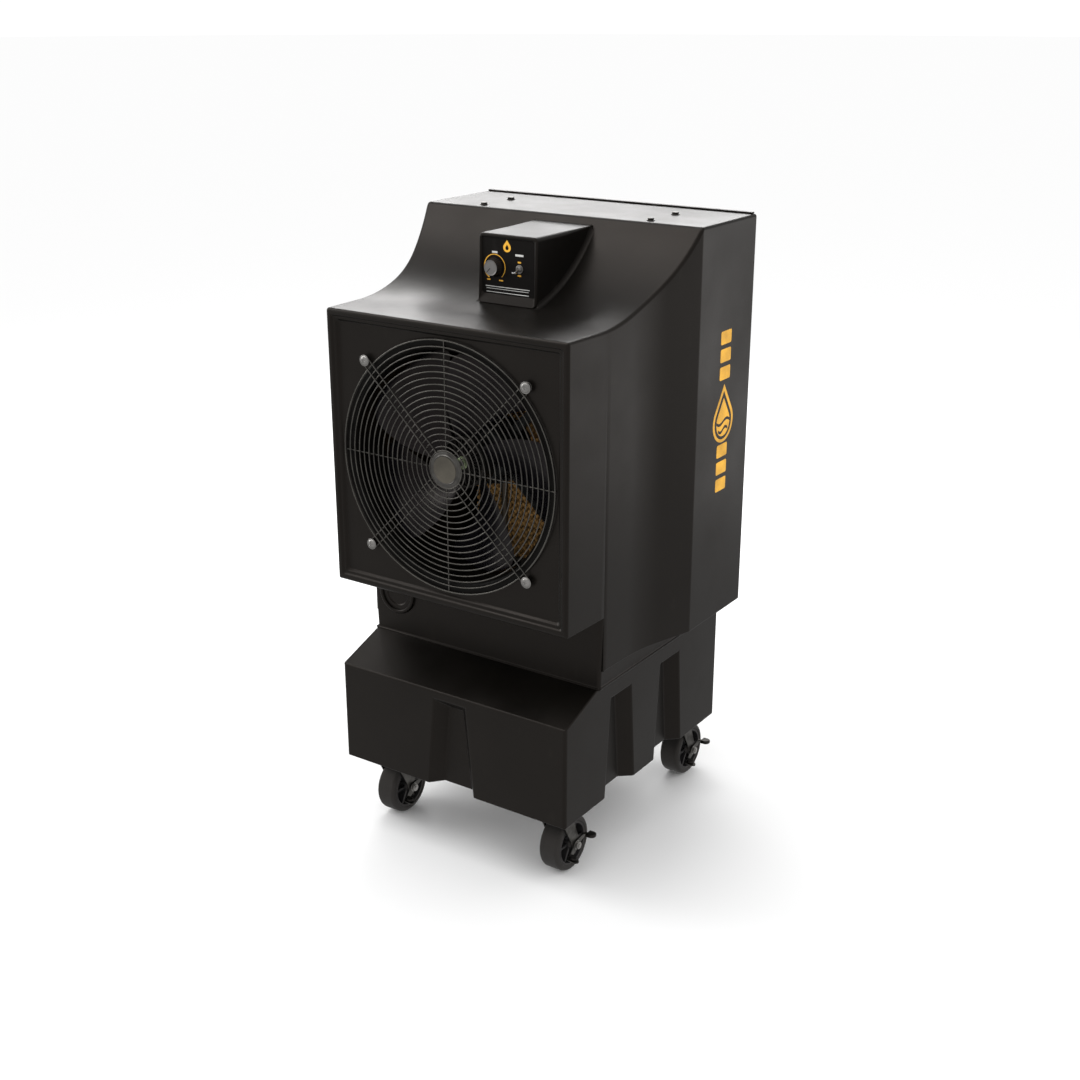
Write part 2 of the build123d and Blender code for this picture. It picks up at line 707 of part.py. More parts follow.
with BuildPart() as pad_frame:
    with BuildSketch(facing_front(FRAME_Y)):
        with Locations((0, (OPENING_Z0 + OPENING_Z1) / 2)):
            Rectangle(2 * (OPENING_HALF + FRAME_LAP), OPENING_HEIGHT + 2 * FRAME_LAP)
            Rectangle(
                2 * (OPENING_HALF - FRAME_BORDER), OPENING_HEIGHT - 2 * FRAME_BORDER, mode=Mode.SUBTRACT
            )
    extrude(amount=-FRAME_THICK)
    # ledge that the pad stands on
    with BuildSketch(Plane.XY.offset(PAD_Z0)):
        with Locations((0, FRONT + (PAD_Y + FRAME_Y + FRAME_THICK) / 2)):
            Rectangle(PAD_WIDTH, PAD_THICK + FRAME_THICK)
    extrude(amount=-FRAME_LAP)
save("pad_frame", pad_frame.part)

PIPE_WALL = 2.0
PIPE_HALF = PAD_HALF - WALL - 2 * PIPE_WALL
RISER_R = 8.0
ELBOW_R = 30.0

with BuildPart() as water_pipe:
    with BuildSketch(Plane(origin=(-PIPE_HALF, FRONT + PIPE_Y, PIPE_Z), z_dir=(1, 0, 0))):
        Circle(PIPE_R)
        Circle(PIPE_R - PIPE_WALL, mode=Mode.SUBTRACT)
    extrude(amount=2 * PIPE_HALF)
    # end caps
    for end in (-1, 1):
        with BuildSketch(Plane(origin=(end * PIPE_HALF, FRONT + PIPE_Y, PIPE_Z), z_dir=(end, 0, 0))):
            Circle(PIPE_R + PIPE_WALL)
        extrude(amount=2 * PIPE_WALL)
    # spray holes over the pad
    with BuildSketch(Plane(origin=(0, FRONT + PIPE_Y, PIPE_Z), z_dir=(0, 0, -1))):
        with GridLocations(40, 0, 14, 1):
            Circle(1.5)
    extrude(amount=PIPE_R + 1, mode=Mode.SUBTRACT)
save("water_pipe", water_pipe.part)


# Pump, riser, float valve, hose inlet and drain

PUMP_BOTTOM = TANK_BOTTOM + WALL
IMPELLER_R = 24.0
IMPELLER_Z = PUMP_BOTTOM + 14
IMPELLER_THICK = 10.0
VANE_COUNT = 6

with BuildPart() as pump_body:
    with BuildSketch(Plane.XY.offset(PUMP_BOTTOM)):
        with Locations((PUMP_X, FRONT + PUMP_Y)):
            Circle(PUMP_R)
    extrude(amount=PUMP_TOP - PUMP_BOTTOM)
    fillet(pump_body.edges().group_by(Axis.Z)[-1], 8.0)
    with BuildSketch(Plane.XY.offset(PUMP_TOP)):
        with Locations((PUMP_X, FRONT + PUMP_Y)):
            Circle(RISER_R)
    extrude(amount=12)
    # volute chamber, and its inlet slots through the wall
    with BuildSketch(Plane.XY.offset(IMPELLER_Z - 4)):
        with Locations((PUMP_X, FRONT + PUMP_Y)):
            Circle(IMPELLER_R + 6)
    extrude(amount=IMPELLER_THICK + 8, mode=Mode.SUBTRACT)
    for angle in (0, 60, 120):
        with BuildSketch(Plane.XY.offset(IMPELLER_Z)):
            with Locations((PUMP_X, FRONT + PUMP_Y)):
                Rectangle(3 * PUMP_R, 8, rotation=angle)
        extrude(amount=IMPELLER_THICK / 2, mode=Mode.SUBTRACT)
save("pump_body", pump_body.part)

with BuildPart() as pump_impeller:
    with BuildSketch(Plane.XY.offset(IMPELLER_Z)):
        with Locations((PUMP_X, FRONT + PUMP_Y)):
            Circle(IMPELLER_R)
    extrude(amount=3)
    with BuildSketch(Plane.XY.offset(IMPELLER_Z + 3)):
        with Locations((PUMP_X, FRONT + PUMP_Y)):
            Circle(8)
            with PolarLocations(IMPELLER_R / 2 + 3, VANE_COUNT):
                Rectangle(IMPELLER_R - 8, 2, rotation=25)
    extrude(amount=IMPELLER_THICK - 3)
save("pump_impeller", pump_impeller.part)

riser_bottom = (PUMP_X, FRONT + PUMP_Y, PUMP_TOP + 12)
riser_corner = (PUMP_X, FRONT + PUMP_Y, PIPE_Z)
riser_top = (PUMP_X, FRONT + PIPE_Y - PIPE_R, PIPE_Z)
with BuildPart() as pump_riser:
    with BuildLine():
        FilletPolyline(riser_bottom, riser_corner, riser_top, radius=ELBOW_R)
    with BuildSketch(Plane(origin=riser_bottom, z_dir=(0, 0, 1))):
        Circle(RISER_R)
    sweep()
save("pump_riser", pump_riser.part)

with BuildPart() as water_inlet:
    with BuildSketch(facing_front(TANK_DEPTH)):
        with Locations((INLET_X, INLET_Z)):
            RegularPolygon(HOSE_R + 5, 6)
    extrude(amount=-6)
    with BuildSketch(facing_front(TANK_DEPTH + 6)):
        with Locations((INLET_X, INLET_Z)):
            Circle(HOSE_R)
    extrude(amount=-HOSE_LENGTH)
    with BuildSketch(facing_front(TANK_DEPTH)):
        with Locations((INLET_X, INLET_Z)):
            Circle(INLET_BORE)
    extrude(amount=WALL)
    with BuildSketch(facing_front(TANK_DEPTH + 6 + HOSE_LENGTH)):
        with Locations((INLET_X, INLET_Z)):
            Circle(INLET_BORE - 2)
    extrude(amount=6 + HOSE_LENGTH + WALL, mode=Mode.SUBTRACT)
save("water_inlet", water_inlet.part)

VALVE_LENGTH = 40.0
VALVE_R = 12.0
FLOAT_DROP = 24.0
ARM_LENGTH = 130.0
FLOAT_R = 28.0
PIN_R = 2.0
VALVE_END = TANK_DEPTH - WALL - VALVE_LENGTH
HINGE_Y = VALVE_END - 8
HINGE_Z = INLET_Z - FLOAT_DROP / 2
EAR_GAP = 6.0
ARM_DROOP = 40.0                # the arm hangs down while the tank is empty, in degrees

with BuildPart() as float_valve:
    with BuildSketch(facing_front(TANK_DEPTH - WALL)):
        with Locations((INLET_X, INLET_Z)):
            Circle(VALVE_R)
            Circle(INLET_BORE - 2, mode=Mode.SUBTRACT)
    extrude(amount=VALVE_LENGTH)
    with BuildSketch(facing_front(VALVE_END)):
        with Locations((INLET_X, INLET_Z)):
            Circle(VALVE_R)
    extrude(amount=3)
    # two ears that carry the arm's pin
    for side in (-1, 1):
        ear_x = INLET_X + side * (EAR_GAP / 2 + 1.5) - 1.5
        with BuildSketch(across(ear_x)):
            with Locations(((HINGE_Y + VALVE_END) / 2 - 1, (HINGE_Z + INLET_Z) / 2)):
                Rectangle(20, 22)
            with Locations((HINGE_Y, HINGE_Z)):
                Circle(PIN_R + 0.05, mode=Mode.SUBTRACT)
        extrude(amount=3)
save("float_valve", float_valve.part)

with BuildPart() as float_arm:
    with BuildSketch(Plane(origin=(-1.5, 0, 0), x_dir=(0, 1, 0), z_dir=(1, 0, 0))):
        Circle(4)
        with Locations((-ARM_LENGTH / 2, 0)):
            Rectangle(ARM_LENGTH, 5)
    extrude(amount=3)
    with BuildSketch(Plane(origin=(-EAR_GAP / 2 - 4, 0, 0), x_dir=(0, 1, 0), z_dir=(1, 0, 0))):
        Circle(PIN_R)
    extrude(amount=EAR_GAP + 8)
    with Locations((0, -ARM_LENGTH, -FLOAT_R / 2)):
        Sphere(FLOAT_R)
arm_hinge = Location((INLET_X, FRONT + HINGE_Y, HINGE_Z), (ARM_DROOP, 0, 0))
save("float_arm", float_arm.part.moved(arm_hinge))

with BuildPart() as drain_plug:
    with BuildSketch(facing_front(TANK_DEPTH + GAP)):
        with Locations((0, DRAIN_Z)):
            RegularPolygon(DRAIN_R + 6, 6)
    extrude(amount=-12)
    with BuildSketch(facing_front(TANK_DEPTH + GAP)):
        with Locations((0, DRAIN_Z)):
            Circle(DRAIN_R - GAP)
    extrude(amount=WALL + 4)
save("drain_plug", drain_plug.part)


# Casters: the same set at each corner

PLATE_X = 92.0
PLATE_Y = 100.0
PLATE_Z = 4.0
BOLT_X = 68.0
BOLT_Y = 76.0
BOLT_R = 4.0
RACE_R = 26.0
RACE_Z = 6.0
CROWN_Z = 146.0                 # top of the fork's crown
CROWN_THICK = 4.0
CROWN_HALF = 30.0
LEG_THICK = 3.0
LEG_GAP = 3.0                   # between the tyre and a leg
AXLE_R = 5.0
NUT_THICK = 7.0
CORE_R = 50.0
CORE_BORE = AXLE_R + 0.05
SPOKE_COUNT = 6
LEG_IN = TYRE_WIDTH / 2 + LEG_GAP
LEG_OUT = LEG_IN + LEG_THICK
LEVER_THICK = 2.5
LEVER_X = LEG_OUT + GAP
TAB_OUT = 28.0
REAR_TAB = (32.0, 14.0)         # from the axle, to the back and up
FRONT_TAB = (-26.0, -19.0)
TAB_HALF = 11.0
TREAD_ROUND = 8.0


def caster_plate(x, y):
    """Top plate and its raceway, bolted under the tank."""
    with BuildPart() as piece:
        with BuildSketch(Plane.XY.offset(TANK_BOTTOM)):
            with Locations((x, y)):
                RectangleRounded(PLATE_X, PLATE_Y, 6)
                with GridLocations(BOLT_X, BOLT_Y, 2, 2):
                    Circle(BOLT_R, mode=Mode.SUBTRACT)
        extrude(amount=-PLATE_Z)
        with BuildSketch(Plane.XY.offset(TANK_BOTTOM - PLATE_Z)):
            with Locations((x, y)):
                Circle(RACE_R)
        extrude(amount=-RACE_Z, taper=20)
    return piece.part


def caster_fork(x, y):
    """Crown, swivel boss and two legs that trail back to the axle."""
    with BuildPart() as piece:
        with BuildSketch(Plane.XY.offset(CROWN_Z)):
            with Locations((x, y)):
                RectangleRounded(2 * LEG_OUT, 2 * CROWN_HALF, 5)
        extrude(amount=-CROWN_THICK)
        with BuildSketch(Plane.XY.offset(CROWN_Z)):
            with Locations((x, y)):
                Circle(RACE_R - 6)
        extrude(amount=TANK_BOTTOM - PLATE_Z - RACE_Z - GAP - CROWN_Z)
        for leg_x in (x - LEG_OUT, x + LEG_IN):
            leg = Plane(origin=(leg_x, y, 0), x_dir=(0, 1, 0), z_dir=(1, 0, 0))
            with BuildSketch(leg):
                with BuildLine():
                    Polyline(
                        (-CROWN_HALF, CROWN_Z),
                        (CROWN_HALF, CROWN_Z),
                        (TRAIL + 16, WHEEL_R + 6),
                        (TRAIL + 12, WHEEL_R - 12),
                        (TRAIL - 12, WHEEL_R - 12),
                        (TRAIL - 16, WHEEL_R + 6),
                        (-CROWN_HALF, CROWN_Z - 12),
                        close=True,
                    )
                make_face()
                with Locations((TRAIL, WHEEL_R)):
                    Circle(AXLE_R, mode=Mode.SUBTRACT)
            extrude(amount=LEG_THICK)
    return piece.part


def caster_axle(x, y):
    """Axle bolt with a hexagon head on one side and a nut on the other."""
    with BuildPart() as piece:
        start = Plane(origin=(x - LEG_OUT, y + TRAIL, WHEEL_R), x_dir=(0, 1, 0), z_dir=(1, 0, 0))
        nut_face = start.offset(2 * LEG_OUT + LEVER_THICK + 2 * GAP)
        with BuildSketch(start):
            Circle(AXLE_R)
        extrude(amount=2 * LEG_OUT + LEVER_THICK + 2 * GAP)
        with BuildSketch(start):
            RegularPolygon(AXLE_R * 1.8, 6)
        extrude(amount=-NUT_THICK)
        with BuildSketch(nut_face):
            RegularPolygon(AXLE_R * 1.8, 6)
        extrude(amount=NUT_THICK)
    return piece.part


def caster_core(x, y):
    """Spoked wheel core with a hub that turns on the axle."""
    face = Plane(origin=(x - TYRE_WIDTH / 2, y + TRAIL, WHEEL_R), x_dir=(0, 1, 0), z_dir=(1, 0, 0))
    with BuildPart() as piece:
        with BuildSketch(face.offset(2)):
            Circle(CORE_R)
            Circle(CORE_R - 5, mode=Mode.SUBTRACT)
        extrude(amount=TYRE_WIDTH - 4)
        with BuildSketch(face.offset(-LEG_GAP + GAP)):
            Circle(13)
        extrude(amount=TYRE_WIDTH + 2 * LEG_GAP - 2 * GAP)
        with BuildSketch(face.offset(TYRE_WIDTH / 2 - 2)):
            Circle(CORE_R - 2)
        extrude(amount=4)
        with BuildSketch(face.offset(7)):
            with PolarLocations(CORE_R / 2 + 4, SPOKE_COUNT):
                Rectangle(CORE_R - 16, 5)
        extrude(amount=TYRE_WIDTH - 14)
        with BuildSketch(face.offset(-LEG_GAP)):
            Circle(CORE_BORE)
        extrude(amount=TYRE_WIDTH + 2 * LEG_GAP, mode=Mode.SUBTRACT)
    return piece.part


def caster_tyre(x, y):
    """Solid tyre with rounded shoulders, moulded on the core."""
    face = Plane(origin=(x - TYRE_WIDTH / 2, y + TRAIL, WHEEL_R), x_dir=(0, 1, 0), z_dir=(1, 0, 0))
    with BuildPart() as piece:
        with BuildSketch(face):
            Circle(WHEEL_R)
        extrude(amount=TYRE_WIDTH)
        fillet(piece.edges(), TREAD_ROUND)
        with BuildSketch(face):
            Circle(CORE_R)
        extrude(amount=TYRE_WIDTH, mode=Mode.SUBTRACT)
    return piece.part


def caster_brake(x, y):
    """Side brake: a rocker on the axle with a foot tab at each end."""
    side = Plane(origin=(x + LEVER_X, y + TRAIL, WHEEL_R), x_dir=(0, 1, 0), z_dir=(1, 0, 0))
    with BuildPart() as piece:
        with BuildSketch(side):
            Circle(12)
            for tab_y, tab_z in (REAR_TAB, FRONT_TAB):
                with BuildLine():
                    Polyline(
                        (-tab_z * 0.25, tab_y * 0.25),
                        (tab_z * 0.25, -tab_y * 0.25),
                        (tab_y + tab_z * 0.25, tab_z - tab_y * 0.25),
                        (tab_y - tab_z * 0.25, tab_z + tab_y * 0.25),
                        close=True,
                    )
                make_face()
            Circle(AXLE_R + GAP, mode=Mode.SUBTRACT)
        extrude(amount=LEVER_THICK)
        for (tab_y, tab_z), tilt in ((REAR_TAB, -15), (FRONT_TAB, -15)):
            tab = Plane(
                origin=(x + LEVER_X, y + TRAIL + tab_y, WHEEL_R + tab_z),
                x_dir=(1, 0, 0),
                z_dir=(0, sin(radians(tilt)), cos(radians(tilt))),
            )
            with BuildSketch(tab):
                with Locations((TAB_OUT / 2 - TAB_HALF / 2, 0)):
                    Rectangle(TAB_OUT - TAB_HALF, 2 * TAB_HALF)
                with Locations((TAB_OUT - TAB_HALF, 0)):
                    Circle(TAB_HALF)
            extrude(amount=LEVER_THICK)
    return piece.part


front_y = FRONT + CASTER_INSET
back_y = FRONT + TANK_DEPTH - CASTER_INSET
CASTERS = {
    "front_left": (-CASTER_X, front_y),
    "front_right": (CASTER_X, front_y),
    "back_left": (-CASTER_X, back_y),
    "back_right": (CASTER_X, back_y),
}
for corner, (caster_x, caster_y) in CASTERS.items():
    save(f"caster_plate_{corner}", caster_plate(caster_x, caster_y))
    save(f"caster_fork_{corner}", caster_fork(caster_x, caster_y))
    save(f"caster_axle_{corner}", caster_axle(caster_x, caster_y))
    save(f"wheel_core_{corner}", caster_core(caster_x, caster_y))
    save(f"tyre_{corner}", caster_tyre(caster_x, caster_y))
    save(f"brake_lever_{corner}", caster_brake(caster_x, caster_y))

with BuildPart() as caster_bolts:
    for caster_x, caster_y in CASTERS.values():
        with BuildSketch(Plane.XY.offset(TANK_BOTTOM - PLATE_Z)):
            with Locations((caster_x, caster_y)):
                with GridLocations(BOLT_X, BOLT_Y, 2, 2):
                    RegularPolygon(1.8 * BOLT_R, 6)
        extrude(amount=-BOLT_R)
        with BuildSketch(Plane.XY.offset(TANK_BOTTOM - PLATE_Z)):
            with Locations((caster_x, caster_y)):
                with GridLocations(BOLT_X, BOLT_Y, 2, 2):
                    Circle(BOLT_R)
        extrude(amount=PLATE_Z)
save("caster_bolts", caster_bolts.part)
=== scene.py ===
"""Looks of a portable evaporative cooler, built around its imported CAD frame.

Lengths are in millimetres until a piece's mesh is made. Distances called y or depth start at the
front face, and FRONT places that face in the frame.
"""

import math

import bmesh
import bpy
from mathutils import Matrix, Vector


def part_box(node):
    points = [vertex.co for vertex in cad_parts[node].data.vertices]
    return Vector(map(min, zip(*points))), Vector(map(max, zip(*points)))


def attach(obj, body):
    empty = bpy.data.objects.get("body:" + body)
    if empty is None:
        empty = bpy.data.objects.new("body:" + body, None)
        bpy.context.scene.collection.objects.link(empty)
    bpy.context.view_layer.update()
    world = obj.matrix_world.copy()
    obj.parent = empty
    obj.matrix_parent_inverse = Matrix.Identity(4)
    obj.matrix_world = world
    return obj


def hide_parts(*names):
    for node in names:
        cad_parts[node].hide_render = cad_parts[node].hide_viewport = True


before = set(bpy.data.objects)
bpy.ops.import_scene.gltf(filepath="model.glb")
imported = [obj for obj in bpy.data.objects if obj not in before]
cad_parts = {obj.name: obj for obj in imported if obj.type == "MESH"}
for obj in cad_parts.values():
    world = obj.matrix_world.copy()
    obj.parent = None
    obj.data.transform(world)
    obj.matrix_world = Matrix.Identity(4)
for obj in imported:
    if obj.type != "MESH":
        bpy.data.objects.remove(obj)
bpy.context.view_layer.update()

MM = 0.001
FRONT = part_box("fan_panel")[0].y / MM
TAU = 2 * math.pi
scene = bpy.context.scene


# Camera

camera = bpy.data.objects.new("camera", bpy.data.cameras.new("camera"))
scene.collection.objects.link(camera)
camera.data.lens = 50.505
camera.data.sensor_width = 36.0
camera.location = (1.8062, -2.6726, 1.8280)
azimuth, elevation = math.radians(34.03), math.radians(20.13)
toward = Vector((-math.sin(azimuth) * math.cos(elevation), math.cos(azimuth) * math.cos(elevation),
                 -math.sin(elevation)))
camera.rotation_mode = "QUATERNION"
camera.rotation_quaternion = toward.to_track_quat("-Z", "Y")
scene.camera = camera


# Shapes

class Shape:
    """Vertices and faces gathered from simple forms, in millimetres."""

    def __init__(self):
        self.verts = []
        self.faces = []

    def add(self, form, matrix=None):
        """Adds a form, or another Shape, moved by the matrix."""
        verts, faces = (form.verts, form.faces) if isinstance(form, Shape) else form
        first = len(self.verts)
        self.verts += [tuple(matrix @ Vector(v)) if matrix else tuple(v) for v in verts]
        self.faces += [[first + i for i in face] for face in faces]
        return self


TO_FRONT = Matrix(((1, 0, 0), (0, 0, -1), (0, 1, 0))).to_4x4()


def facing_front(x, depth, z):
    """Local x to the right, y up and z towards the front."""
    return Matrix.Translation((x, FRONT + depth, z)) @ TO_FRONT


def facing_right(x, y, z):
    """Local x towards the back, y up and z to the right."""
    turn = Matrix(((0, 0, 1), (1, 0, 0), (0, 1, 0))).to_4x4()
    return Matrix.Translation((x, y, z)) @ turn


def rounded(points, radius, steps=4, closed=True):
    """A flat outline with its corners turned into arcs. radius is one number or one for each corner."""
    made = []
    count = len(points)
    for index, point in enumerate(points):
        size = radius[index] if isinstance(radius, (list, tuple)) else radius
        if size <= 0 or (not closed and index in (0, count - 1)):
            made.append(tuple(point))
            continue
        corner = Vector(point)
        before = (Vector(points[index - 1]) - corner).normalized()
        after = (Vector(points[(index + 1) % count]) - corner).normalized()
        half = before.angle(after) / 2
        centre = corner + (before + after).normalized() * size / math.sin(half)
        start = corner + before * size / math.tan(half) - centre
        end = corner + after * size / math.tan(half) - centre
        sweep = math.atan2(start.x * end.y - start.y * end.x, start.dot(end))
        for step in range(steps + 1):
            angle = sweep * step / steps
            turned = Vector((
                start.x * math.cos(angle) - start.y * math.sin(angle),
                start.x * math.sin(angle) + start.y * math.cos(angle),
            ))
            made.append(tuple(centre + turned))
    return made


def rectangle(width, height, radius=0.0, steps=5, x=0.0, y=0.0):
    corners = [(x + sx * width / 2, y + sy * height / 2) for sx, sy in ((1, 1), (-1, 1), (-1, -1), (1, -1))]
    return rounded(corners, radius, steps)


def circle(radius, count, start=0.0):
    angles = [start + TAU * i / count for i in range(count)]
    return [(radius * math.cos(a), radius * math.sin(a)) for a in angles]


def prism(outline, low, high):
    """The outline carried along local z from low to high."""
    count = len(outline)
    verts = [(x, y, low) for x, y in outline] + [(x, y, high) for x, y in outline]
    faces = [[i, (i + 1) % count, count + (i + 1) % count, count + i] for i in range(count)]
    faces += [list(range(count))[::-1], list(range(count, 2 * count))]
    return verts, faces


def loft(loops, caps=(True, True), around=True):
    """Faces between loops of equally many 3-D points."""
    count = len(loops[0])
    verts = [p for loop in loops for p in loop]
    faces = []
    for level in range(len(loops) - 1):
        for i in range(count if around else count - 1):
            a, b = level * count + i, level * count + (i + 1) % count
            faces.append([a, b, b + count, a + count])
    if caps[0]:
        faces.append(list(range(count))[::-1])
    if caps[1]:
        faces.append([(len(loops) - 1) * count + i for i in range(count)])
    return verts, faces


def lathe(profile, count=64, closed=False, wave=None):
    """Turns (radius, height) points around local z. wave(angle, radius, height) gives another radius."""
    loops = []
    for radius, height in profile:
        loop = []
        for i in range(count):
            angle = TAU * i / count
            size = wave(angle, radius, height) if wave else radius
            loop.append((size * math.cos(angle), size * math.sin(angle), height))
        loops.append(loop)
    if closed:
        loops.append(loops[0])
    return loft(loops, (not closed and profile[0][0] > 0.01, not closed and profile[-1][0] > 0.01))


def tube(points, radius, sides=10, closed=False):
    """A round wire that follows the points."""
    path = [Vector(p) for p in points]
    count = len(path)
    tangents = []
    for i in range(count):
        before = path[i - 1] if closed or i else path[i]
        after = path[(i + 1) % count] if closed or i < count - 1 else path[i]
        tangents.append((after - before).normalized())
    normal = tangents[0].orthogonal().normalized()
    loops = []
    for i in range(count):
        if i:
            normal = (tangents[i - 1].rotation_difference(tangents[i]) @ normal).normalized()
        side = tangents[i].cross(normal)
        loops.append([
            tuple(path[i] + radius * (math.cos(TAU * k / sides) * normal + math.sin(TAU * k / sides) * side))
            for k in range(sides)
        ])
    if closed:
        loops.append(loops[0])
    return loft(loops, (not closed, not closed))


def polygons(faces):
    """Separate faces given as lists of points. Equal points are merged when the piece is made."""
    verts, made = [], []
    for face in faces:
        made.append(list(range(len(verts), len(verts) + len(face))))
        verts += face
    return verts, made


SHARP_ANGLE = 32  # degrees; edges that turn more than this are softened, where no weight is given


def make(name, shape, finish, body, stands_for=(), bevel=0.0, segments=3, weight=None, thickness=0.0):
    """Makes a piece of the shape, with soft edges and clean normals, and puts it on its body.

    bevel and thickness are in millimetres. weight(edge) says how much of the bevel an edge gets.
    """
    bm = bmesh.new()
    verts = [bm.verts.new(Vector(v) * MM) for v in shape.verts]
    for face in shape.faces:
        if len(set(face)) == len(face) and len(face) > 2:
            try:
                bm.faces.new([verts[i] for i in face])
            except ValueError:
                pass
    bmesh.ops.remove_doubles(bm, verts=bm.verts, dist=0.01 * MM)
    bmesh.ops.dissolve_degenerate(bm, edges=bm.edges, dist=0.005 * MM)
    bmesh.ops.recalc_face_normals(bm, faces=bm.faces)
    if weight:
        layer = bm.edges.layers.float.new("bevel_weight_edge")
        for edge in bm.edges:
            edge[layer] = weight(edge)
    mesh = bpy.data.meshes.new(name)
    bm.to_mesh(mesh)
    bm.free()
    for polygon in mesh.polygons:
        polygon.use_smooth = True
    mesh.materials.append(finish)
    obj = bpy.data.objects.new(name, mesh)
    scene.collection.objects.link(obj)
    if bevel:
        soft = obj.modifiers.new("edges", "BEVEL")
        soft.width = bevel * MM
        soft.segments = segments
        soft.limit_method = "WEIGHT" if weight else "ANGLE"
        soft.angle_limit = math.radians(SHARP_ANGLE)
        soft.use_clamp_overlap = not weight
    if thickness:
        wall = obj.modifiers.new("wall", "SOLIDIFY")
        wall.thickness = thickness * MM
        wall.offset = -1.0
        wall.use_even_offset = True
    obj.modifiers.new("normals", "WEIGHTED_NORMAL").keep_sharp = True
    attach(obj, body)
    if stands_for:
        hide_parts(*stands_for)
    return obj


# Finishes

WARM = (1.0, 0.88, 0.80)  # tint of the gloss on moulded plastic


def nodes_of(name, colour, roughness, metallic=0.0, specular=0.5, tint=(1.0, 1.0, 1.0)):
    """A new material and its shader, with constant settings."""
    material = bpy.data.materials.new(name)
    material.use_nodes = True
    tree = material.node_tree
    shader = tree.nodes["Principled BSDF"]
    shader.inputs["Base Color"].default_value = (*colour, 1)
    shader.inputs["Roughness"].default_value = roughness
    shader.inputs["Metallic"].default_value = metallic
    shader.inputs["Specular IOR Level"].default_value = specular
    shader.inputs["Specular Tint"].default_value = (*tint, 1)
    return material, tree, shader


def noise(tree, scale, detail=2.0, stretch=None):
    """Noise in object space, as a value from 0 to 1."""
    where = tree.nodes.new("ShaderNodeTexCoord").outputs["Object"]
    if stretch:
        mapping = tree.nodes.new("ShaderNodeMapping")
        mapping.inputs["Scale"].default_value = stretch
        tree.links.new(where, mapping.inputs["Vector"])
        where = mapping.outputs["Vector"]
    texture = tree.nodes.new("ShaderNodeTexNoise")
    texture.inputs["Scale"].default_value = scale
    texture.inputs["Detail"].default_value = detail
    tree.links.new(where, texture.inputs["Vector"])
    return texture.outputs["Fac"]


def ramp(tree, value, low, high, start=0.3, end=0.7):
    """Maps a value onto a range of colours or numbers."""
    node = tree.nodes.new("ShaderNodeValToRGB")
    first, last = node.color_ramp.elements
    first.position, last.position = start, end
    first.color = (*low, 1) if isinstance(low, tuple) else (low, low, low, 1)
    last.color = (*high, 1) if isinstance(high, tuple) else (high, high, high, 1)
    tree.links.new(value, node.inputs["Fac"])
    return node.outputs["Color"]


def blend_colours(tree, share, first, second):
    node = tree.nodes.new("ShaderNodeMix")
    node.data_type = "RGBA"
    tree.links.new(share, node.inputs["Factor"])
    for socket, value in ((node.inputs[6], first), (node.inputs[7], second)):
        if isinstance(value, tuple):
            socket.default_value = (*value, 1)
        else:
            tree.links.new(value, socket)
    return node.outputs[2]


def bumps(tree, shader, layers):
    """Bump from several heights: (value, distance in mm, strength)."""
    normal = None
    for height, distance, strength in layers:
        bump = tree.nodes.new("ShaderNodeBump")
        bump.inputs["Distance"].default_value = distance * MM
        bump.inputs["Strength"].default_value = strength
        tree.links.new(height, bump.inputs["Height"])
        if normal:
            tree.links.new(normal, bump.inputs["Normal"])
        normal = bump.outputs["Normal"]
    tree.links.new(normal, shader.inputs["Normal"])


def scaled(colour, by):
    return tuple(min(c * by, 1.0) for c in colour)


def moulded(name, colour, roughness=0.5, specular=0.35, grain=420.0, grain_depth=0.22, drift=0.25):
    """Moulded plastic: cloudy colour, uneven gloss, fine orange peel and a few scuffs."""
    material, tree, shader = nodes_of(name, colour, roughness, specular=specular, tint=WARM)
    cloud = noise(tree, 5.5, 4.0)
    speck = noise(tree, 620.0, 1.0)
    base = ramp(tree, cloud, scaled(colour, 1 - drift), scaled(colour, 1 + drift))
    scuff = ramp(tree, noise(tree, 38.0, 8.0, (1.0, 1.0, 0.35)), 0.0, 1.0, 0.64, 0.78)
    worn = blend_colours(tree, scuff, base, scaled(colour, 1.7))
    dusty = blend_colours(tree, ramp(tree, speck, 0.0, 0.35, 0.6, 0.75), worn, scaled(colour, 1.9))
    tree.links.new(dusty, shader.inputs["Base Color"])
    tree.links.new(ramp(tree, cloud, roughness - 0.06, roughness + 0.07), shader.inputs["Roughness"])
    bumps(tree, shader, [
        (noise(tree, grain, 2.0), grain_depth, 0.55),
        (noise(tree, 16.0, 1.0), 0.9, 0.10),
    ])
    return material


def metal(name, colour, roughness=0.3, metallic=1.0, brushed=None, grime=0.35):
    """Plated or brushed metal with smudges and fine scratches."""
    material, tree, shader = nodes_of(name, colour, roughness, metallic)
    cloud = noise(tree, 60.0, 5.0)
    base = ramp(tree, cloud, scaled(colour, 1 - grime), colour, 0.25, 0.6)
    tree.links.new(base, shader.inputs["Base Color"])
    smudge = ramp(tree, noise(tree, 140.0, 4.0), roughness - 0.07, roughness + 0.12)
    tree.links.new(smudge, shader.inputs["Roughness"])
    bumps(tree, shader, [(noise(tree, 260.0, 3.0, brushed or (1.0, 1.0, 1.0)), 0.1, 0.35)])
    return material


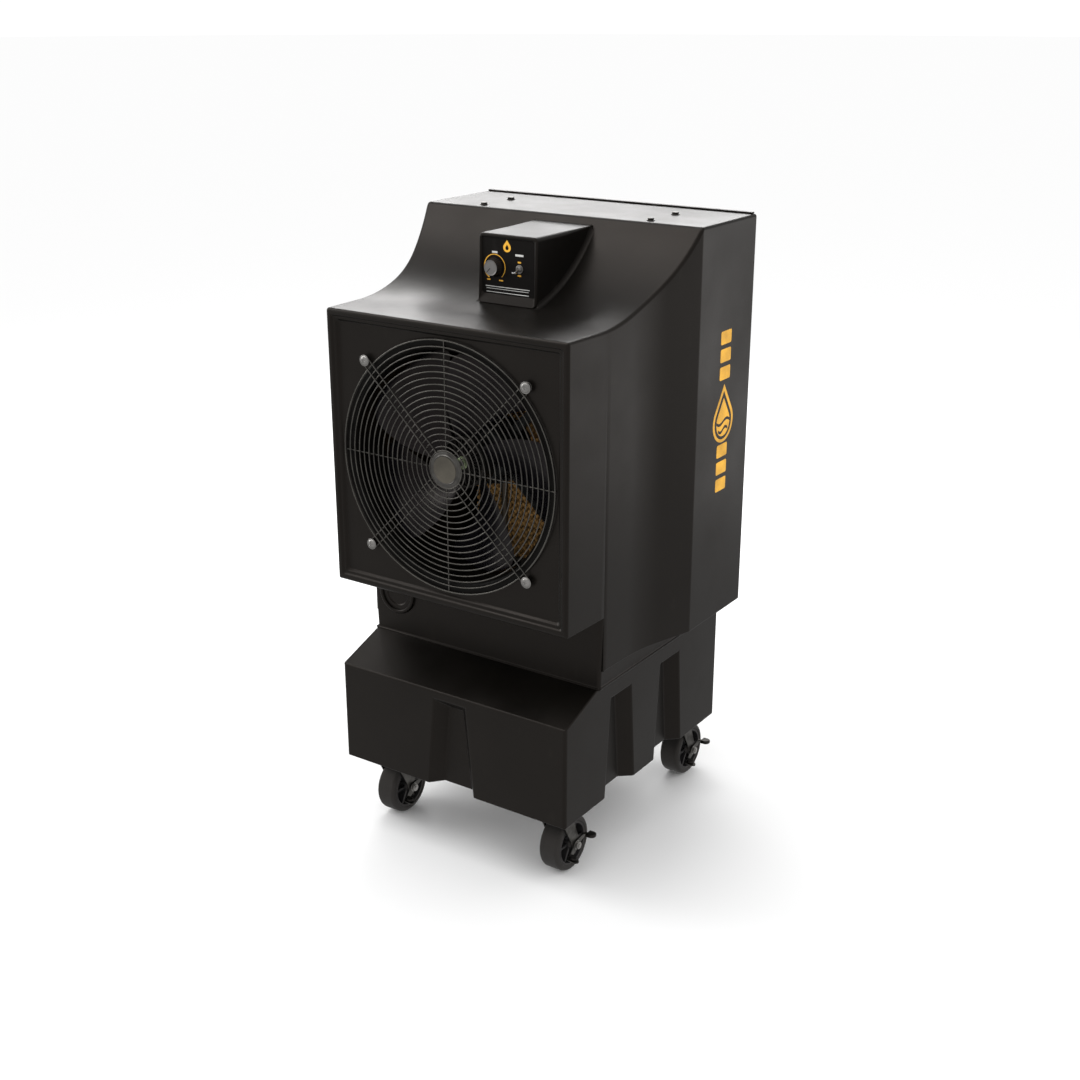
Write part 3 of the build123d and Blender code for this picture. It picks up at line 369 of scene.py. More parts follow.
def painted(name, colour, roughness=0.4, metallic=0.0, specular=0.5):
    """Powder coat: fine texture with small chips of bare metal."""
    material, tree, shader = nodes_of(name, colour, roughness, metallic, specular)
    cloud = noise(tree, 22.0, 4.0)
    chips = ramp(tree, noise(tree, 210.0, 6.0), 0.0, 1.0, 0.70, 0.74)
    base = ramp(tree, cloud, scaled(colour, 0.75), scaled(colour, 1.3))
    tree.links.new(blend_colours(tree, chips, base, scaled(colour, 2.6)), shader.inputs["Base Color"])
    tree.links.new(ramp(tree, cloud, roughness - 0.06, roughness + 0.08), shader.inputs["Roughness"])
    bumps(tree, shader, [(noise(tree, 700.0, 1.0), 0.08, 0.5)])
    return material


def cellulose(name, colour):
    """Corrugated paper soaked in resin: fibres and wet patches."""
    material, tree, shader = nodes_of(name, colour, 0.85, specular=0.2)
    fibre = noise(tree, 320.0, 6.0, (1.0, 1.0, 0.4))
    patch = noise(tree, 9.0, 5.0)
    base = ramp(tree, fibre, scaled(colour, 0.6), scaled(colour, 1.35))
    wet = blend_colours(tree, ramp(tree, patch, 0.0, 0.55, 0.45, 0.65), base, scaled(colour, 0.4))
    tree.links.new(wet, shader.inputs["Base Color"])
    tree.links.new(ramp(tree, patch, 0.75, 0.92), shader.inputs["Roughness"])
    bumps(tree, shader, [(fibre, 0.5, 0.6)])
    return material


SHELL = moulded("rotomoulded_polyethylene", (0.0040, 0.0035, 0.0028), 0.36, 0.34)
HOOD = moulded("control_hood_plastic", (0.0042, 0.0038, 0.0033), 0.42, 0.30)
PLATE = moulded("control_plate_overlay", (0.0050, 0.0048, 0.0048), 0.5, 0.14, 900.0, 0.05, 0.12)
BLACK = moulded("black_plastic", (0.008, 0.008, 0.008), 0.42, 0.4, 800.0, 0.06, 0.2)
FAN_PLASTIC = moulded("fan_plastic", (0.0045, 0.0040, 0.0055), 0.27, 0.36, 500.0, 0.08, 0.15)
WHEEL = moulded("wheel_plastic", (0.02, 0.02, 0.021), 0.42, 0.45, 600.0, 0.08, 0.2)
TYRE = moulded("tyre_rubber", (0.020, 0.0195, 0.019), 0.50, 0.35, 700.0, 0.10, 0.3)
PIPE = moulded("pipe_plastic", (0.012, 0.012, 0.012), 0.45, 0.5, 500.0, 0.05, 0.12)
WIRE_COAT = painted("guard_powder_coat", (0.11, 0.104, 0.094), 0.24, 0.8)
RING = painted("ring_powder_coat", (0.004, 0.0036, 0.003), 0.40, 0.0, 0.10)
BRACKET = painted("bracket_powder_coat", (0.03, 0.03, 0.03), 0.45, 0.2)
MOTOR = painted("motor_enamel", (0.03, 0.03, 0.031), 0.42, 0.2)
BADGE = painted("badge_enamel", (0.062, 0.055, 0.042), 0.5, 0.0, 0.3)
YELLOW = painted("yellow_ink", (0.78, 0.40, 0.035), 0.5, 0.0, 0.3)
WHITE = painted("white_ink", (0.62, 0.62, 0.60), 0.5, 0.0, 0.3)
KNOB_SILVER = metal("knob_aluminium", (0.34, 0.33, 0.32), 0.42, 0.9, (1.0, 1.0, 0.05), 0.2)
BRIGHT = metal("bright_zinc", (0.50, 0.485, 0.465), 0.30, 1.0, None, 0.35)
ZINC = metal("plated_steel", (0.17, 0.163, 0.152), 0.36, 1.0, None, 0.5)
BRASS = metal("brass", (0.68, 0.48, 0.20), 0.3, 1.0, None, 0.4)
GREEN_METAL = metal("motor_boss_metal", (0.42, 0.50, 0.30), 0.35, 0.9, None, 0.5)
PAD = cellulose("cellulose", (0.46, 0.30, 0.13))


# Upper housing

FACE_HALF, FACE_LOW, FACE_HIGH = 300.0, 600.0, 1202.0
RIM_Z, TOP_Z, DEPTH = 479.0, 1368.0, 657.0
SCOOP_START, PAD_EDGE, PAD_HALF = 107.0, 417.0, 353.4
RIM_FRONT = 134.0
FAN_Z = 901.5
LIP, STEP, STEP_DEPTH, PANEL_DEPTH = 12.0, 8.5, 4.5, 11.0
SLOPE = 0.78  # how far the recess's walls lean in, for each millimetre of depth
PANEL_HOLE = 267.0
PAD_OPENING = (330.0, 500.0, 1345.0)
SOFT_EDGE = 7.0


def half_width(y):
    """Half the housing's width at a depth: nearly straight, a wide bend, then flared out to the pad."""
    bend_start, bend_end = 228.0, 320.0
    if y < bend_start:
        return FACE_HALF + 0.04 * y
    if y < bend_end:
        t = (y - bend_start) / (bend_end - bend_start)
        return (1 - t) ** 2 * 309.1 + 2 * t * (1 - t) * 311.0 + t * t * 324.2
    flare_end = 324.2 + (PAD_HALF - 324.2) * (y - bend_end) / (PAD_EDGE - bend_end)
    return min(flare_end, PAD_HALF)


def top_height(y):
    """Height of the top at a depth: flat, a hollow curve up, then flat over the pad."""
    radius = ((PAD_EDGE - SCOOP_START) ** 2 + (TOP_Z - FACE_HIGH) ** 2) / (2 * (TOP_Z - FACE_HIGH))
    run = min(max(y - SCOOP_START, 0.0), PAD_EDGE - SCOOP_START)
    return FACE_HIGH + radius - math.sqrt(radius ** 2 - run ** 2)


def square_loop(half, depth, radius, count=13, corner=6):
    """A rounded square around the fan's axis, with evenly spread points on its sides."""
    made = []
    reach = half - radius
    for quarter in range(4):
        turn = quarter * TAU / 4
        flat = [(half, -reach + 2 * reach * i / (count - 1)) for i in range(count)]
        arc = [
            (reach + radius * math.cos(a * TAU / 4 / corner), reach + radius * math.sin(a * TAU / 4 / corner))
            for a in range(1, corner)
        ]
        for px, pz in flat + arc:
            x = px * math.cos(turn) - pz * math.sin(turn)
            z = px * math.sin(turn) + pz * math.cos(turn)
            made.append((x, FRONT + depth, FAN_Z + z))
    return made


def housing_skin():
    """Outer skin of the housing as separate faces that share their corners."""
    depths = sorted({0.0, 50.0, SCOOP_START, RIM_FRONT, PAD_EDGE, 500.0, 580.0, DEPTH}
                    | {SCOOP_START + (PAD_EDGE - SCOOP_START) * i / 24 for i in range(25)})
    depths = [d for i, d in enumerate(depths) if i == 0 or d - depths[i - 1] > 3]
    faces = []
    for near, far in zip(depths, depths[1:]):
        low = FACE_LOW if far <= RIM_FRONT else RIM_Z
        for side in (-1, 1):
            wall = [
                (side * half_width(near), FRONT + near, low),
                (side * half_width(far), FRONT + far, low),
                (side * half_width(far), FRONT + far, top_height(far)),
                (side * half_width(near), FRONT + near, top_height(near)),
            ]
            if near == RIM_FRONT:
                wall.append((side * half_width(near), FRONT + near, FACE_LOW))
            if far == RIM_FRONT:
                wall[1] = (side * half_width(far), FRONT + far, FACE_LOW)
            faces.append(wall)
        for height in (low, None):
            faces.append([
                (side * half_width(d), FRONT + d, height or top_height(d))
                for side, d in ((-1, near), (1, near), (1, far), (-1, far))
            ])
    step = half_width(RIM_FRONT)
    faces.append([(x, FRONT + RIM_FRONT, z) for x, z in
                  ((-step, RIM_Z), (step, RIM_Z), (step, FACE_LOW), (-step, FACE_LOW))])
    # back wall around the opening for the pad
    half, low, high = PAD_OPENING
    outer = [(-PAD_HALF, RIM_Z), (PAD_HALF, RIM_Z), (PAD_HALF, TOP_Z), (-PAD_HALF, TOP_Z)]
    inner = [(-half, low), (half, low), (half, high), (-half, high)]
    for i in range(4):
        j = (i + 1) % 4
        faces.append([(x, FRONT + DEPTH, z) for x, z in (outer[i], outer[j], inner[j], inner[i])])
        faces.append([(inner[a][0], FRONT + d, inner[a][1]) for a, d in
                      ((i, DEPTH), (j, DEPTH), (j, DEPTH - 5), (i, DEPTH - 5))])
    # lip, stepped recess and fan panel
    loops = [
        square_loop(FACE_HALF - LIP, 0.0, 6.0),
        square_loop(FACE_HALF - LIP - SLOPE * STEP_DEPTH, STEP_DEPTH, 6.0),
        square_loop(FACE_HALF - LIP - STEP, STEP_DEPTH, 6.0),
        square_loop(FACE_HALF - LIP - STEP - SLOPE * (PANEL_DEPTH - STEP_DEPTH), PANEL_DEPTH, 6.0),
    ]
    hole = []
    for x, y, z in loops[-1]:
        angle = math.atan2(z - FAN_Z, x)
        hole.append((PANEL_HOLE * math.cos(angle), y, FAN_Z + PANEL_HOLE * math.sin(angle)))
    loops.append(hole)
    count = len(hole)
    for first, second in zip(loops, loops[1:]):
        for i in range(count):
            j = (i + 1) % count
            faces.append([first[i], first[j], second[j], second[i]])
    # the flat lip: one face on each side, from the housing's corners to the recess
    corners = [(FACE_HALF, FACE_LOW), (FACE_HALF, FACE_HIGH), (-FACE_HALF, FACE_HIGH), (-FACE_HALF, FACE_LOW)]
    per_side = count // 4
    middle = per_side - 3
    for side in range(4):
        start = (side * per_side + middle - per_side) % count
        run = [loops[0][(start + i) % count] for i in range(per_side + 1)]
        a, b = corners[side], corners[(side + 1) % 4]
        faces.append([(b[0], FRONT, b[1]), (a[0], FRONT, a[1])] + run)
    return polygons(faces)


def housing_weight(edge):
    """How soft each edge of the housing is, as a share of SOFT_EDGE."""
    if len(edge.link_faces) != 2:
        return 0.0
    angle = math.degrees(edge.calc_face_angle(0.0))
    middle = (edge.verts[0].co + edge.verts[1].co) / (2 * MM)
    depth = middle.y - FRONT
    if angle < 10:
        return 0.0
    if angle < 20:
        return 0.3 if abs(depth - PAD_EDGE) < 1 else 0.0
    inside_lip = abs(middle.x) < FACE_HALF - LIP + 1 and FACE_LOW + 5 < middle.z < FACE_HIGH - 5
    if inside_lip and depth < PANEL_DEPTH + 1:
        return 0.24
    if depth > DEPTH - 6:
        return 0.5
    if abs(depth - RIM_FRONT) < 1:
        return 0.0
    if middle.z < FACE_LOW - 1:
        return 0.4
    if middle.z < FACE_LOW + 1 and depth > 1:
        return 0.4
    return 1.0


housing = Shape().add(housing_skin())
make("housing_shell", housing, SHELL, "cabinet", ["upper_housing", "fan_panel"], bevel=SOFT_EDGE,
     segments=4, weight=housing_weight, thickness=3.0)

rear_lip = Shape().add(prism(rectangle(2 * PAD_HALF - 12, 12, y=0), 0.0, 3.8),
                       Matrix.Translation((0, FRONT + DEPTH - 7, TOP_Z)))
make("housing_rear_lip", rear_lip, SHELL, "cabinet", bevel=1.4)

NECK_HALF, NECK_FRONT, NECK_BACK, DECK_Z = 300.5, 126.0, 640.0, 441.0
NECK_R = 8.0


def neck_skin():
    """The neck's wall: it flares a little onto the deck, and only its front rises above the housing's rim."""
    # height, then how far the wall stands out at the sides and at the front
    levels = [
        (DECK_Z, 4.0, 4.0), (DECK_Z + 0.7, 2.1, 2.1), (DECK_Z + 2.0, 0.8, 0.8), (DECK_Z + 4.5, 0.0, 0.0),
        (RIM_Z, 1.2, 0.0), (FACE_LOW + 2, 4.9, 0.0),
    ]
    middle = FRONT + (NECK_FRONT + NECK_BACK) / 2
    rings = []
    for z, out, forward in levels:
        outline = rectangle(2 * (NECK_HALF + out), NECK_BACK - NECK_FRONT + 2 * forward, NECK_R, 8)
        rings.append([(x, middle + y, z) for x, y in outline])
    faces = []
    for level, (low, high) in enumerate(zip(rings, rings[1:])):
        for i in range(len(low)):
            j = (i + 1) % len(low)
            in_front = max(low[i][1], low[j][1]) < FRONT + NECK_FRONT + NECK_R + 1
            if level < len(rings) - 2 or in_front:
                faces.append([low[i], low[j], high[j], high[i]])
    return polygons(faces)


make("neck_wall", Shape().add(neck_skin()), SHELL, "cabinet", ["housing_neck"], thickness=4.0)

PORT_X, PORT_Z, PORT_R = -237.0, 537.5, 48.5
port_profile = rounded([(PORT_R - 9, -4), (PORT_R - 9, 6.8), (PORT_R, 6.8), (PORT_R + 1.5, -4)],
                       [0, 3.6, 4.2, 0], 5, False)
make("port_rim", Shape().add(lathe(port_profile, 72, True), facing_front(PORT_X, NECK_FRONT, PORT_Z)),
     SHELL, "cabinet")
dish = rounded([(0, -1.0), (26, -1.0), (30, 2.0), (PORT_R - 8.5, 2.0), (PORT_R - 8.5, -3), (0, -3)],
               [0, 2, 1.5, 0.5, 0, 0], 4, False)
make("port_lid", Shape().add(lathe(dish, 72), facing_front(PORT_X, NECK_FRONT, PORT_Z)), SHELL, "cabinet",
     ["port_cap"])


# Base tank

TANK_HALF, TANK_DEPTH, TANK_LOW, TANK_HIGH = 299.0, 660.0, 164.0, 395.0
SHELF = 126.0
GROOVE_DEPTH, GROOVE_FLARE = 28.0, 23.5
GROOVE_TOP, GROOVE_FOOT = 42.0, 61.6
GROOVES = {"front": [(0.0, 377.0)], "side": [(220.0, 399.0), (432.0, 399.0)]}


def wall_with_grooves(outline, grooves, to_space):
    """One wall of the tank: its outline from the top down, with grooves that open at its lower edge."""
    faces = []
    run = []
    for centre, top in grooves:
        mouth = [(centre - GROOVE_FOOT, TANK_LOW), (centre - GROOVE_TOP, top), (centre + GROOVE_TOP, top),
                 (centre + GROOVE_FOOT, TANK_LOW)]
        floor = [(centre - GROOVE_FOOT + GROOVE_FLARE, TANK_LOW),
                 (centre - GROOVE_TOP + GROOVE_FLARE, top - GROOVE_FLARE),
                 (centre + GROOVE_TOP - GROOVE_FLARE, top - GROOVE_FLARE),
                 (centre + GROOVE_FOOT - GROOVE_FLARE, TANK_LOW)]
        for i in range(3):
            faces.append([to_space(*mouth[i], 0), to_space(*mouth[i + 1], 0),
                          to_space(*floor[i + 1], GROOVE_DEPTH), to_space(*floor[i], GROOVE_DEPTH)])
        faces.append([to_space(*p, GROOVE_DEPTH) for p in floor])
        run += [to_space(*p, 0) for p in mouth]
    faces.append([to_space(*p, 0) for p in outline] + run)
    return faces


def tank_skin():
    """The tank's outside as faces that share their corners."""
    def front(u, z, inward):
        return (u, FRONT + inward, z)

    def right(u, z, inward):
        return (TANK_HALF - inward, FRONT + u, z)

    def left(u, z, inward):
        return (inward - TANK_HALF, FRONT + u, z)

    side = [(TANK_DEPTH, TANK_LOW), (TANK_DEPTH, DECK_Z), (SHELF, DECK_Z), (0, TANK_HIGH), (0, TANK_LOW)]
    face = [(TANK_HALF, TANK_LOW), (TANK_HALF, TANK_HIGH), (-TANK_HALF, TANK_HIGH), (-TANK_HALF, TANK_LOW)]
    faces = wall_with_grooves(face, GROOVES["front"], front)
    faces += wall_with_grooves(side, GROOVES["side"], right)
    faces += wall_with_grooves(side, GROOVES["side"], left)
    for near, far, low, high in ((0, SHELF, TANK_HIGH, DECK_Z), (SHELF, TANK_DEPTH, DECK_Z, DECK_Z)):
        faces.append([(-TANK_HALF, FRONT + near, low), (TANK_HALF, FRONT + near, low),
                      (TANK_HALF, FRONT + far, high), (-TANK_HALF, FRONT + far, high)])
    faces.append([(x, FRONT + TANK_DEPTH, z) for x, z in
                  ((-TANK_HALF, TANK_LOW), (TANK_HALF, TANK_LOW), (TANK_HALF, DECK_Z), (-TANK_HALF, DECK_Z))])

    def feet(grooves, to_space):
        run = []
        for centre, _ in grooves:
            for u, inward in ((-GROOVE_FOOT, 0), (GROOVE_FLARE - GROOVE_FOOT, GROOVE_DEPTH),
                              (GROOVE_FOOT - GROOVE_FLARE, GROOVE_DEPTH), (GROOVE_FOOT, 0)):
                run.append(to_space(centre + u, TANK_LOW, inward))
        return run

    faces.append(
        [front(-TANK_HALF, TANK_LOW, 0)] + feet(GROOVES["front"], front) + [front(TANK_HALF, TANK_LOW, 0)]
        + feet(GROOVES["side"], right) + [right(TANK_DEPTH, TANK_LOW, 0), left(TANK_DEPTH, TANK_LOW, 0)]
        + feet(GROOVES["side"], left)[::-1]
    )
    return polygons(faces)


def tank_weight(edge):
    """The tank's own corners are softer than the edges of its grooves."""
    if len(edge.link_faces) != 2 or math.degrees(edge.calc_face_angle(0.0)) < 10:
        return 0.0
    a, b = (v.co / MM for v in edge.verts)
    upright = abs(a.x - b.x) + abs(a.y - b.y) < 1
    if upright and abs(abs(a.x) - TANK_HALF) < 1:
        return 1.0
    return 0.55 if max(a.z, b.z) > TANK_HIGH - 1 and abs(a.y - b.y) + abs(a.x - b.x) > 200 else 0.4


make("tank_shell", Shape().add(tank_skin()), SHELL, "cabinet", ["base_tank"], bevel=8.0, segments=4,
     weight=tank_weight)


# Fan inlet ring, guard, badge and screws

THROAT_R, RING_LIP_R = 243.0, 268.0
GUARD_DEPTH, WIRE = 6.0, 1.4
RING_RADII = [40.0] + [48.6 + 12.8 * i for i in range(17)] + [267.3]
SCREW_XZ = 201.0
FAN_AXIS = facing_front(0, 0, FAN_Z)

ring_outline = rounded(
    [(THROAT_R, -108), (THROAT_R, -10.3), (RING_LIP_R - 2, -10.3), (RING_LIP_R, -11.4),
     (RING_LIP_R, -13.5), (THROAT_R + 18, -13.5), (THROAT_R + 3, -28), (THROAT_R + 3, -108)],
    [0.8, 15, 1.0, 0.5, 0.5, 6, 8, 0.8], 7)
make("inlet_ring", Shape().add(lathe(ring_outline, 128, True), FAN_AXIS), RING, "cabinet",
     ["venturi_ring"])


def wire_loop(angle, depth):
    """A pair of guard wires that runs out to a screw and around it."""
    reach = math.sqrt(2) * SCREW_XZ
    half = 9.0
    flat = [(40.0, half), (reach, half)]
    flat += [(reach + half * math.sin(math.pi * i / 12), half * math.cos(math.pi * i / 12)) for i in range(1, 12)]
    flat += [(reach, -half), (40.0, -half)]
    c, s = math.cos(angle), math.sin(angle)
    return [(u * c - v * s, u * s + v * c, -depth) for u, v in flat]


guard = Shape()
for radius in RING_RADII:
    size = 1.7 if radius in (RING_RADII[0], RING_RADII[-1]) else WIRE
    guard.add(tube([(x, y, -GUARD_DEPTH) for x, y in circle(radius, 112)], size, 9, True), FAN_AXIS)
for quarter in range(4):
    angle = quarter * TAU / 4
    behind = GUARD_DEPTH + 2 * WIRE
    spoke = [(r * math.cos(angle), r * math.sin(angle), -behind) for r in (40.0, 267.3)]
    guard.add(tube(spoke, WIRE, 9), FAN_AXIS)
    front_pair = quarter % 2 == 1
    pair_depth = GUARD_DEPTH + (-2 if front_pair else 2) * WIRE
    guard.add(tube(wire_loop(angle + TAU / 8, pair_depth), WIRE, 9), FAN_AXIS)
make("guard_wires", guard, WIRE_COAT, "cabinet", ["fan_guard"])

badge_ring = rounded(
    [(0, -3.0), (28.8, -3.0), (30.4, -2.2), (32.0, -4.4), (36.4, -4.4), (38.3, -5.0), (38.3, -6.2), (0, -6.2)],
    [0, 0.3, 0.5, 0.8, 0.8, 0.5, 0.3, 0], 4, False)
make("guard_badge_ring", Shape().add(lathe(badge_ring, 96), FAN_AXIS), ZINC, "cabinet", ["guard_badge"])
badge_disc = lathe([(0, -2.3), (28.2, -2.3), (28.7, -3.1), (0, -3.1)], 96)
make("guard_badge_disc", Shape().add(badge_disc, FAN_AXIS), BADGE, "cabinet")


def pan_head(radius, height, recess, shank):
    """A domed screw head with a cross recess, standing on local z = 0."""
    count = 48
    cross = {0.14: 1.9, 0.20: 1.3}  # how much further the cross reaches along its arms
    loops = []
    for size, level in ((0.14, height - recess), (0.20, height), (0.5, height * 0.93), (0.75, height * 0.78),
                        (0.92, height * 0.5), (1.0, height * 0.2), (1.0, 0.0), (0.3, 0.0), (0.3, -shank)):
        loop = []
        for i in range(count):
            angle = TAU * i / count
            arm = max(abs(math.cos(2 * angle)) - 0.55, 0) / 0.45
            r = size * radius * (1 + cross.get(size, 0.0) * arm)
            loop.append((r * math.cos(angle), r * math.sin(angle), level))
        loops.append(loop)
    return loft(loops)


bolts = Shape()
screw_washer = rounded([(0, 0.0), (12.0, 0.0), (12.0, 1.3), (0, 1.3)], [0, 0.5, 0.5, 0], 3, False)
for x in (-SCREW_XZ, SCREW_XZ):
    for z in (-SCREW_XZ, SCREW_XZ):
        at = facing_front(x, 1.76, FAN_Z + z)
        bolts.add(lathe(screw_washer, 40), at)
        bolts.add(pan_head(10.2, 4.9, 1.6, 8.0), at @ Matrix.Rotation(x * z, 4, "Z"))
make("guard_bolts", bolts, BRIGHT, "cabinet", ["guard_screws"])


# Fan

HUB_R, HUB_DEPTH, HUB_LENGTH = 55.0, 62.0, 44.0
BLADE_R = 236.0
BLADE_REACH = 40.0
FAN_MID = HUB_DEPTH + HUB_LENGTH / 2
BLADE_ANGLES = [135 - 72 * i for i in range(5)]


def blade_point(s, t):
    """Middle surface of a blade that points up: s runs from root to tip and t across the chord."""
    radius = HUB_R - 3 + (BLADE_R - HUB_R + 3) * s
    half = math.radians(20 + 9 * math.sin(math.pi * s / 2))
    corner = max(s - 0.84, 0.0) / 0.16
    half *= 1 - 0.17 * corner ** 3
    sweep = math.radians(-30 * (1 - s) ** 1.2)
    angle = (2 * t - 1) * half + sweep
    pitch = math.radians(36 - 12 * s)
    along = radius * ((2 * t - 1) * half)
    camber = 0.14 * radius * half * (1 - (2 * t - 1) ** 2)
    depth = BLADE_REACH * math.tanh((along * math.tan(pitch) - camber * 0.5) / BLADE_REACH)
    return Vector((radius * math.sin(angle), radius * math.cos(angle), -depth))


def blade_form(rows=16, columns=20):
    """A closed blade: two faces a little apart, thinner towards the edges."""
    front, back = [], []
    for i in range(rows + 1):
        s = i / rows
        for j in range(columns + 1):
            t = j / columns
            here = blade_point(s, t)
            du = blade_point(min(s + 0.01, 1.0), t) - blade_point(max(s - 0.01, 0.0), t)
            dv = blade_point(s, min(t + 0.01, 1.0)) - blade_point(s, max(t - 0.01, 0.0))
            normal = du.cross(dv).normalized()
            thick = 1.6 * (1 - 0.75 * abs(2 * t - 1) ** 6) * (1 - 0.5 * s ** 8)
            front.append(here + normal * thick)
            back.append(here - normal * thick)
    width = columns + 1
    faces = []
    total = len(front)
    for i in range(rows):
        for j in range(columns):
            a = i * width + j
            quad = [a, a + 1, a + width + 1, a + width]
            faces.append(quad)
            faces.append([total + v for v in quad[::-1]])
    rim = list(range(width)) + [i * width + columns for i in range(1, rows + 1)]
    rim += [rows * width + j for j in range(columns - 1, -1, -1)] + [i * width for i in range(rows - 1, 0, -1)]
    for a, b in zip(rim, rim[1:] + rim[:1]):
        faces.append([a, b, total + b, total + a])
    return front + back, faces


MID_AXIS = facing_front(0, FAN_MID, FAN_Z)
for index, angle in enumerate(BLADE_ANGLES):
    turned = MID_AXIS @ Matrix.Rotation(math.radians(angle - 90), 4, "Z")
    make(f"blade_{index + 1}", Shape().add(blade_form(), turned), FAN_PLASTIC, "fan",
         [f"fan_blade_{index + 1}"])

hub = Shape()
shell_profile = rounded(
    [(HUB_R - 5, 0), (HUB_R, -4), (HUB_R, -HUB_LENGTH), (HUB_R - 4, -HUB_LENGTH), (HUB_R - 4, -6), (HUB_R - 6, -3)],
    [1.2, 2, 1.5, 1, 0.5, 0.8], 4)
hub.add(lathe(shell_profile, 72, True))
hub.add(lathe(rounded([(0, -14), (HUB_R - 3, -14), (HUB_R - 3, -20), (0, -20)], [0, 1, 1, 0], 3, False), 72))
hub.add(lathe(rounded([(0, -1), (17, -1), (19, -3), (20, -15), (0, -15)], [0, 1, 1, 0, 0], 3, False), 48))
for i in range(30):
    rib = prism([(18, -0.9), (HUB_R - 3, -0.9), (HUB_R - 3, 0.9), (18, 0.9)], -15, -5.5)
    hub.add(rib, Matrix.Rotation(TAU * i / 30, 4, "Z"))
make("hub_ribbed", Shape().add(hub, facing_front(0, HUB_DEPTH, FAN_Z)), BLACK, "fan", ["fan_hub"],
     bevel=0.4)
boss = lathe(rounded([(0, 3.6), (8, 3.6), (9.5, 2.2), (13.5, 0.5), (14.5, -2), (14.5, -12), (0, -12)],
                     [0, 1, 0.6, 1, 0.6, 0, 0], 4, False), 48)
make("hub_boss", Shape().add(boss, facing_front(0, HUB_DEPTH, FAN_Z)), GREEN_METAL, "fan")


# Motor behind the fan

MOTOR_R, MOTOR_DEPTH = 66.0, 122.0
motor = Shape()
bell = rounded([(0, 0), (30, 0), (34, -3), (56, -6), (63, -16), (63, -104), (56, -115), (20, -119), (0, -119)],
               [0, 2, 2, 6, 6, 6, 6, 3, 0], 5, False)
motor.add(lathe(bell, 72))
for i in range(36):
    fin = prism([(61, -1.1), (MOTOR_R + 2.6, -1.1), (MOTOR_R + 2.6, 1.1), (61, 1.1)], -96, -24)
    motor.add(fin, Matrix.Rotation(TAU * i / 36, 4, "Z"))
make("motor_shell", Shape().add(motor, facing_front(0, MOTOR_DEPTH, FAN_Z)), MOTOR,
     "cabinet", ["motor_body"], bevel=0.5)


# Control hood on the scoop

BOX_X, BOX_HALF = 24.5, 72.5
BOX_FRONT, BOX_BACK, BOX_HIGH = 196.0, 405.0, 1353.0
BEZEL, BEZEL_LOW = 7.5, 12.0
PLATE_DEPTH = BOX_FRONT + 2.0
PLATE_LOW = top_height(BOX_FRONT) + BEZEL_LOW + 5
FILLET_R = 8.0


def hood_loop(depth, inset, low, corner):
    """The hood's outline at a depth, drawn in by an inset."""
    high = BOX_HIGH - inset
    middle = (low + high) / 2
    outline = rectangle(2 * (BOX_HALF - inset), high - low, corner, 5)
    sill = PLATE_LOW - 1
    lean = 0.55 * max(1 - max(depth - BOX_FRONT, 0) / 24, 0)
    return [(BOX_X + x, FRONT + depth - lean * max(sill - middle - z, 0), middle + z) for x, z in outline]


def hood_skin():
    """The recessed front, the rounded bezel and the sides, which end in the scoop."""
    low = top_height(BOX_FRONT) - 2
    loops = [
        hood_loop(PLATE_DEPTH + 1, BEZEL, PLATE_LOW, 4.0),
        hood_loop(BOX_FRONT + 0.6, BEZEL, PLATE_LOW, 4.0),
        hood_loop(BOX_FRONT, BEZEL - 0.8, PLATE_LOW - 0.8, 4.4),
        hood_loop(BOX_FRONT, 4.0, low + 2, 5.0),
        hood_loop(BOX_FRONT + 0.6, 2.0, low + 1, 6.0),
        hood_loop(BOX_FRONT + 2.0, 0.6, low, 8.5),
        hood_loop(BOX_FRONT + 4.0, 0.0, low, 9.5),
    ]
    steps = 14
    for i in range(1, steps + 1):
        depth = BOX_FRONT + 4 + (BOX_BACK - BOX_FRONT - 4) * i / steps
        foot = min(top_height(depth) - 2, BOX_HIGH - 3)
        loops.append(hood_loop(depth, 0.0, foot, min(9.5, 1.5 + (steps - i) * 1.1)))
    return loft(loops)


def hood_fillet():
    """The soft joint between the hood and the scoop, around three sides of the hood."""
    path = []
    steps = 22
    reach = BOX_BACK - 6
    for i in range(steps + 1):
        path.append((BOX_X - BOX_HALF, reach + (BOX_FRONT + 6 - reach) * i / steps, math.pi))
    for i in range(1, 8):
        path.append((BOX_X - BOX_HALF, BOX_FRONT, math.pi * (1 + i / 16)))
    for i in range(7):
        path.append((BOX_X - BOX_HALF + 6 + (2 * BOX_HALF - 12) * i / 6, BOX_FRONT, -math.pi / 2))
    for i in range(1, 8):
        path.append((BOX_X + BOX_HALF, BOX_FRONT, -math.pi / 2 * (1 - i / 8)))
    for i in range(steps + 1):
        path.append((BOX_X + BOX_HALF, BOX_FRONT + 6 + (reach - BOX_FRONT - 6) * i / steps, 0.0))
    loops = []
    for x, depth, turn in path:
        out = (math.cos(turn), math.sin(turn))
        slope = (top_height(depth + 1) - top_height(depth - 1)) / 2
        stretch = math.sqrt(1 + (slope * abs(out[0])) ** 2)
        profile = [(-1.5, FILLET_R)]
        profile += [(FILLET_R * (1 - math.cos(a)), FILLET_R * (1 - math.sin(a)))
                    for a in (TAU / 4 * k / 7 for k in range(8))]
        profile.append((FILLET_R + 0.5, -1.5))
        loop = []
        for away, up in profile:
            here = depth + out[1] * away
            loop.append((x + out[0] * away, FRONT + here, top_height(here) + up * stretch))
        loops.append(loop)
    return loft(loops, (False, False), around=False)


make("control_hood", Shape().add(hood_skin()), HOOD, "cabinet", ["control_box"])
make("control_hood_fillet", Shape().add(hood_fillet()), HOOD, "cabinet")

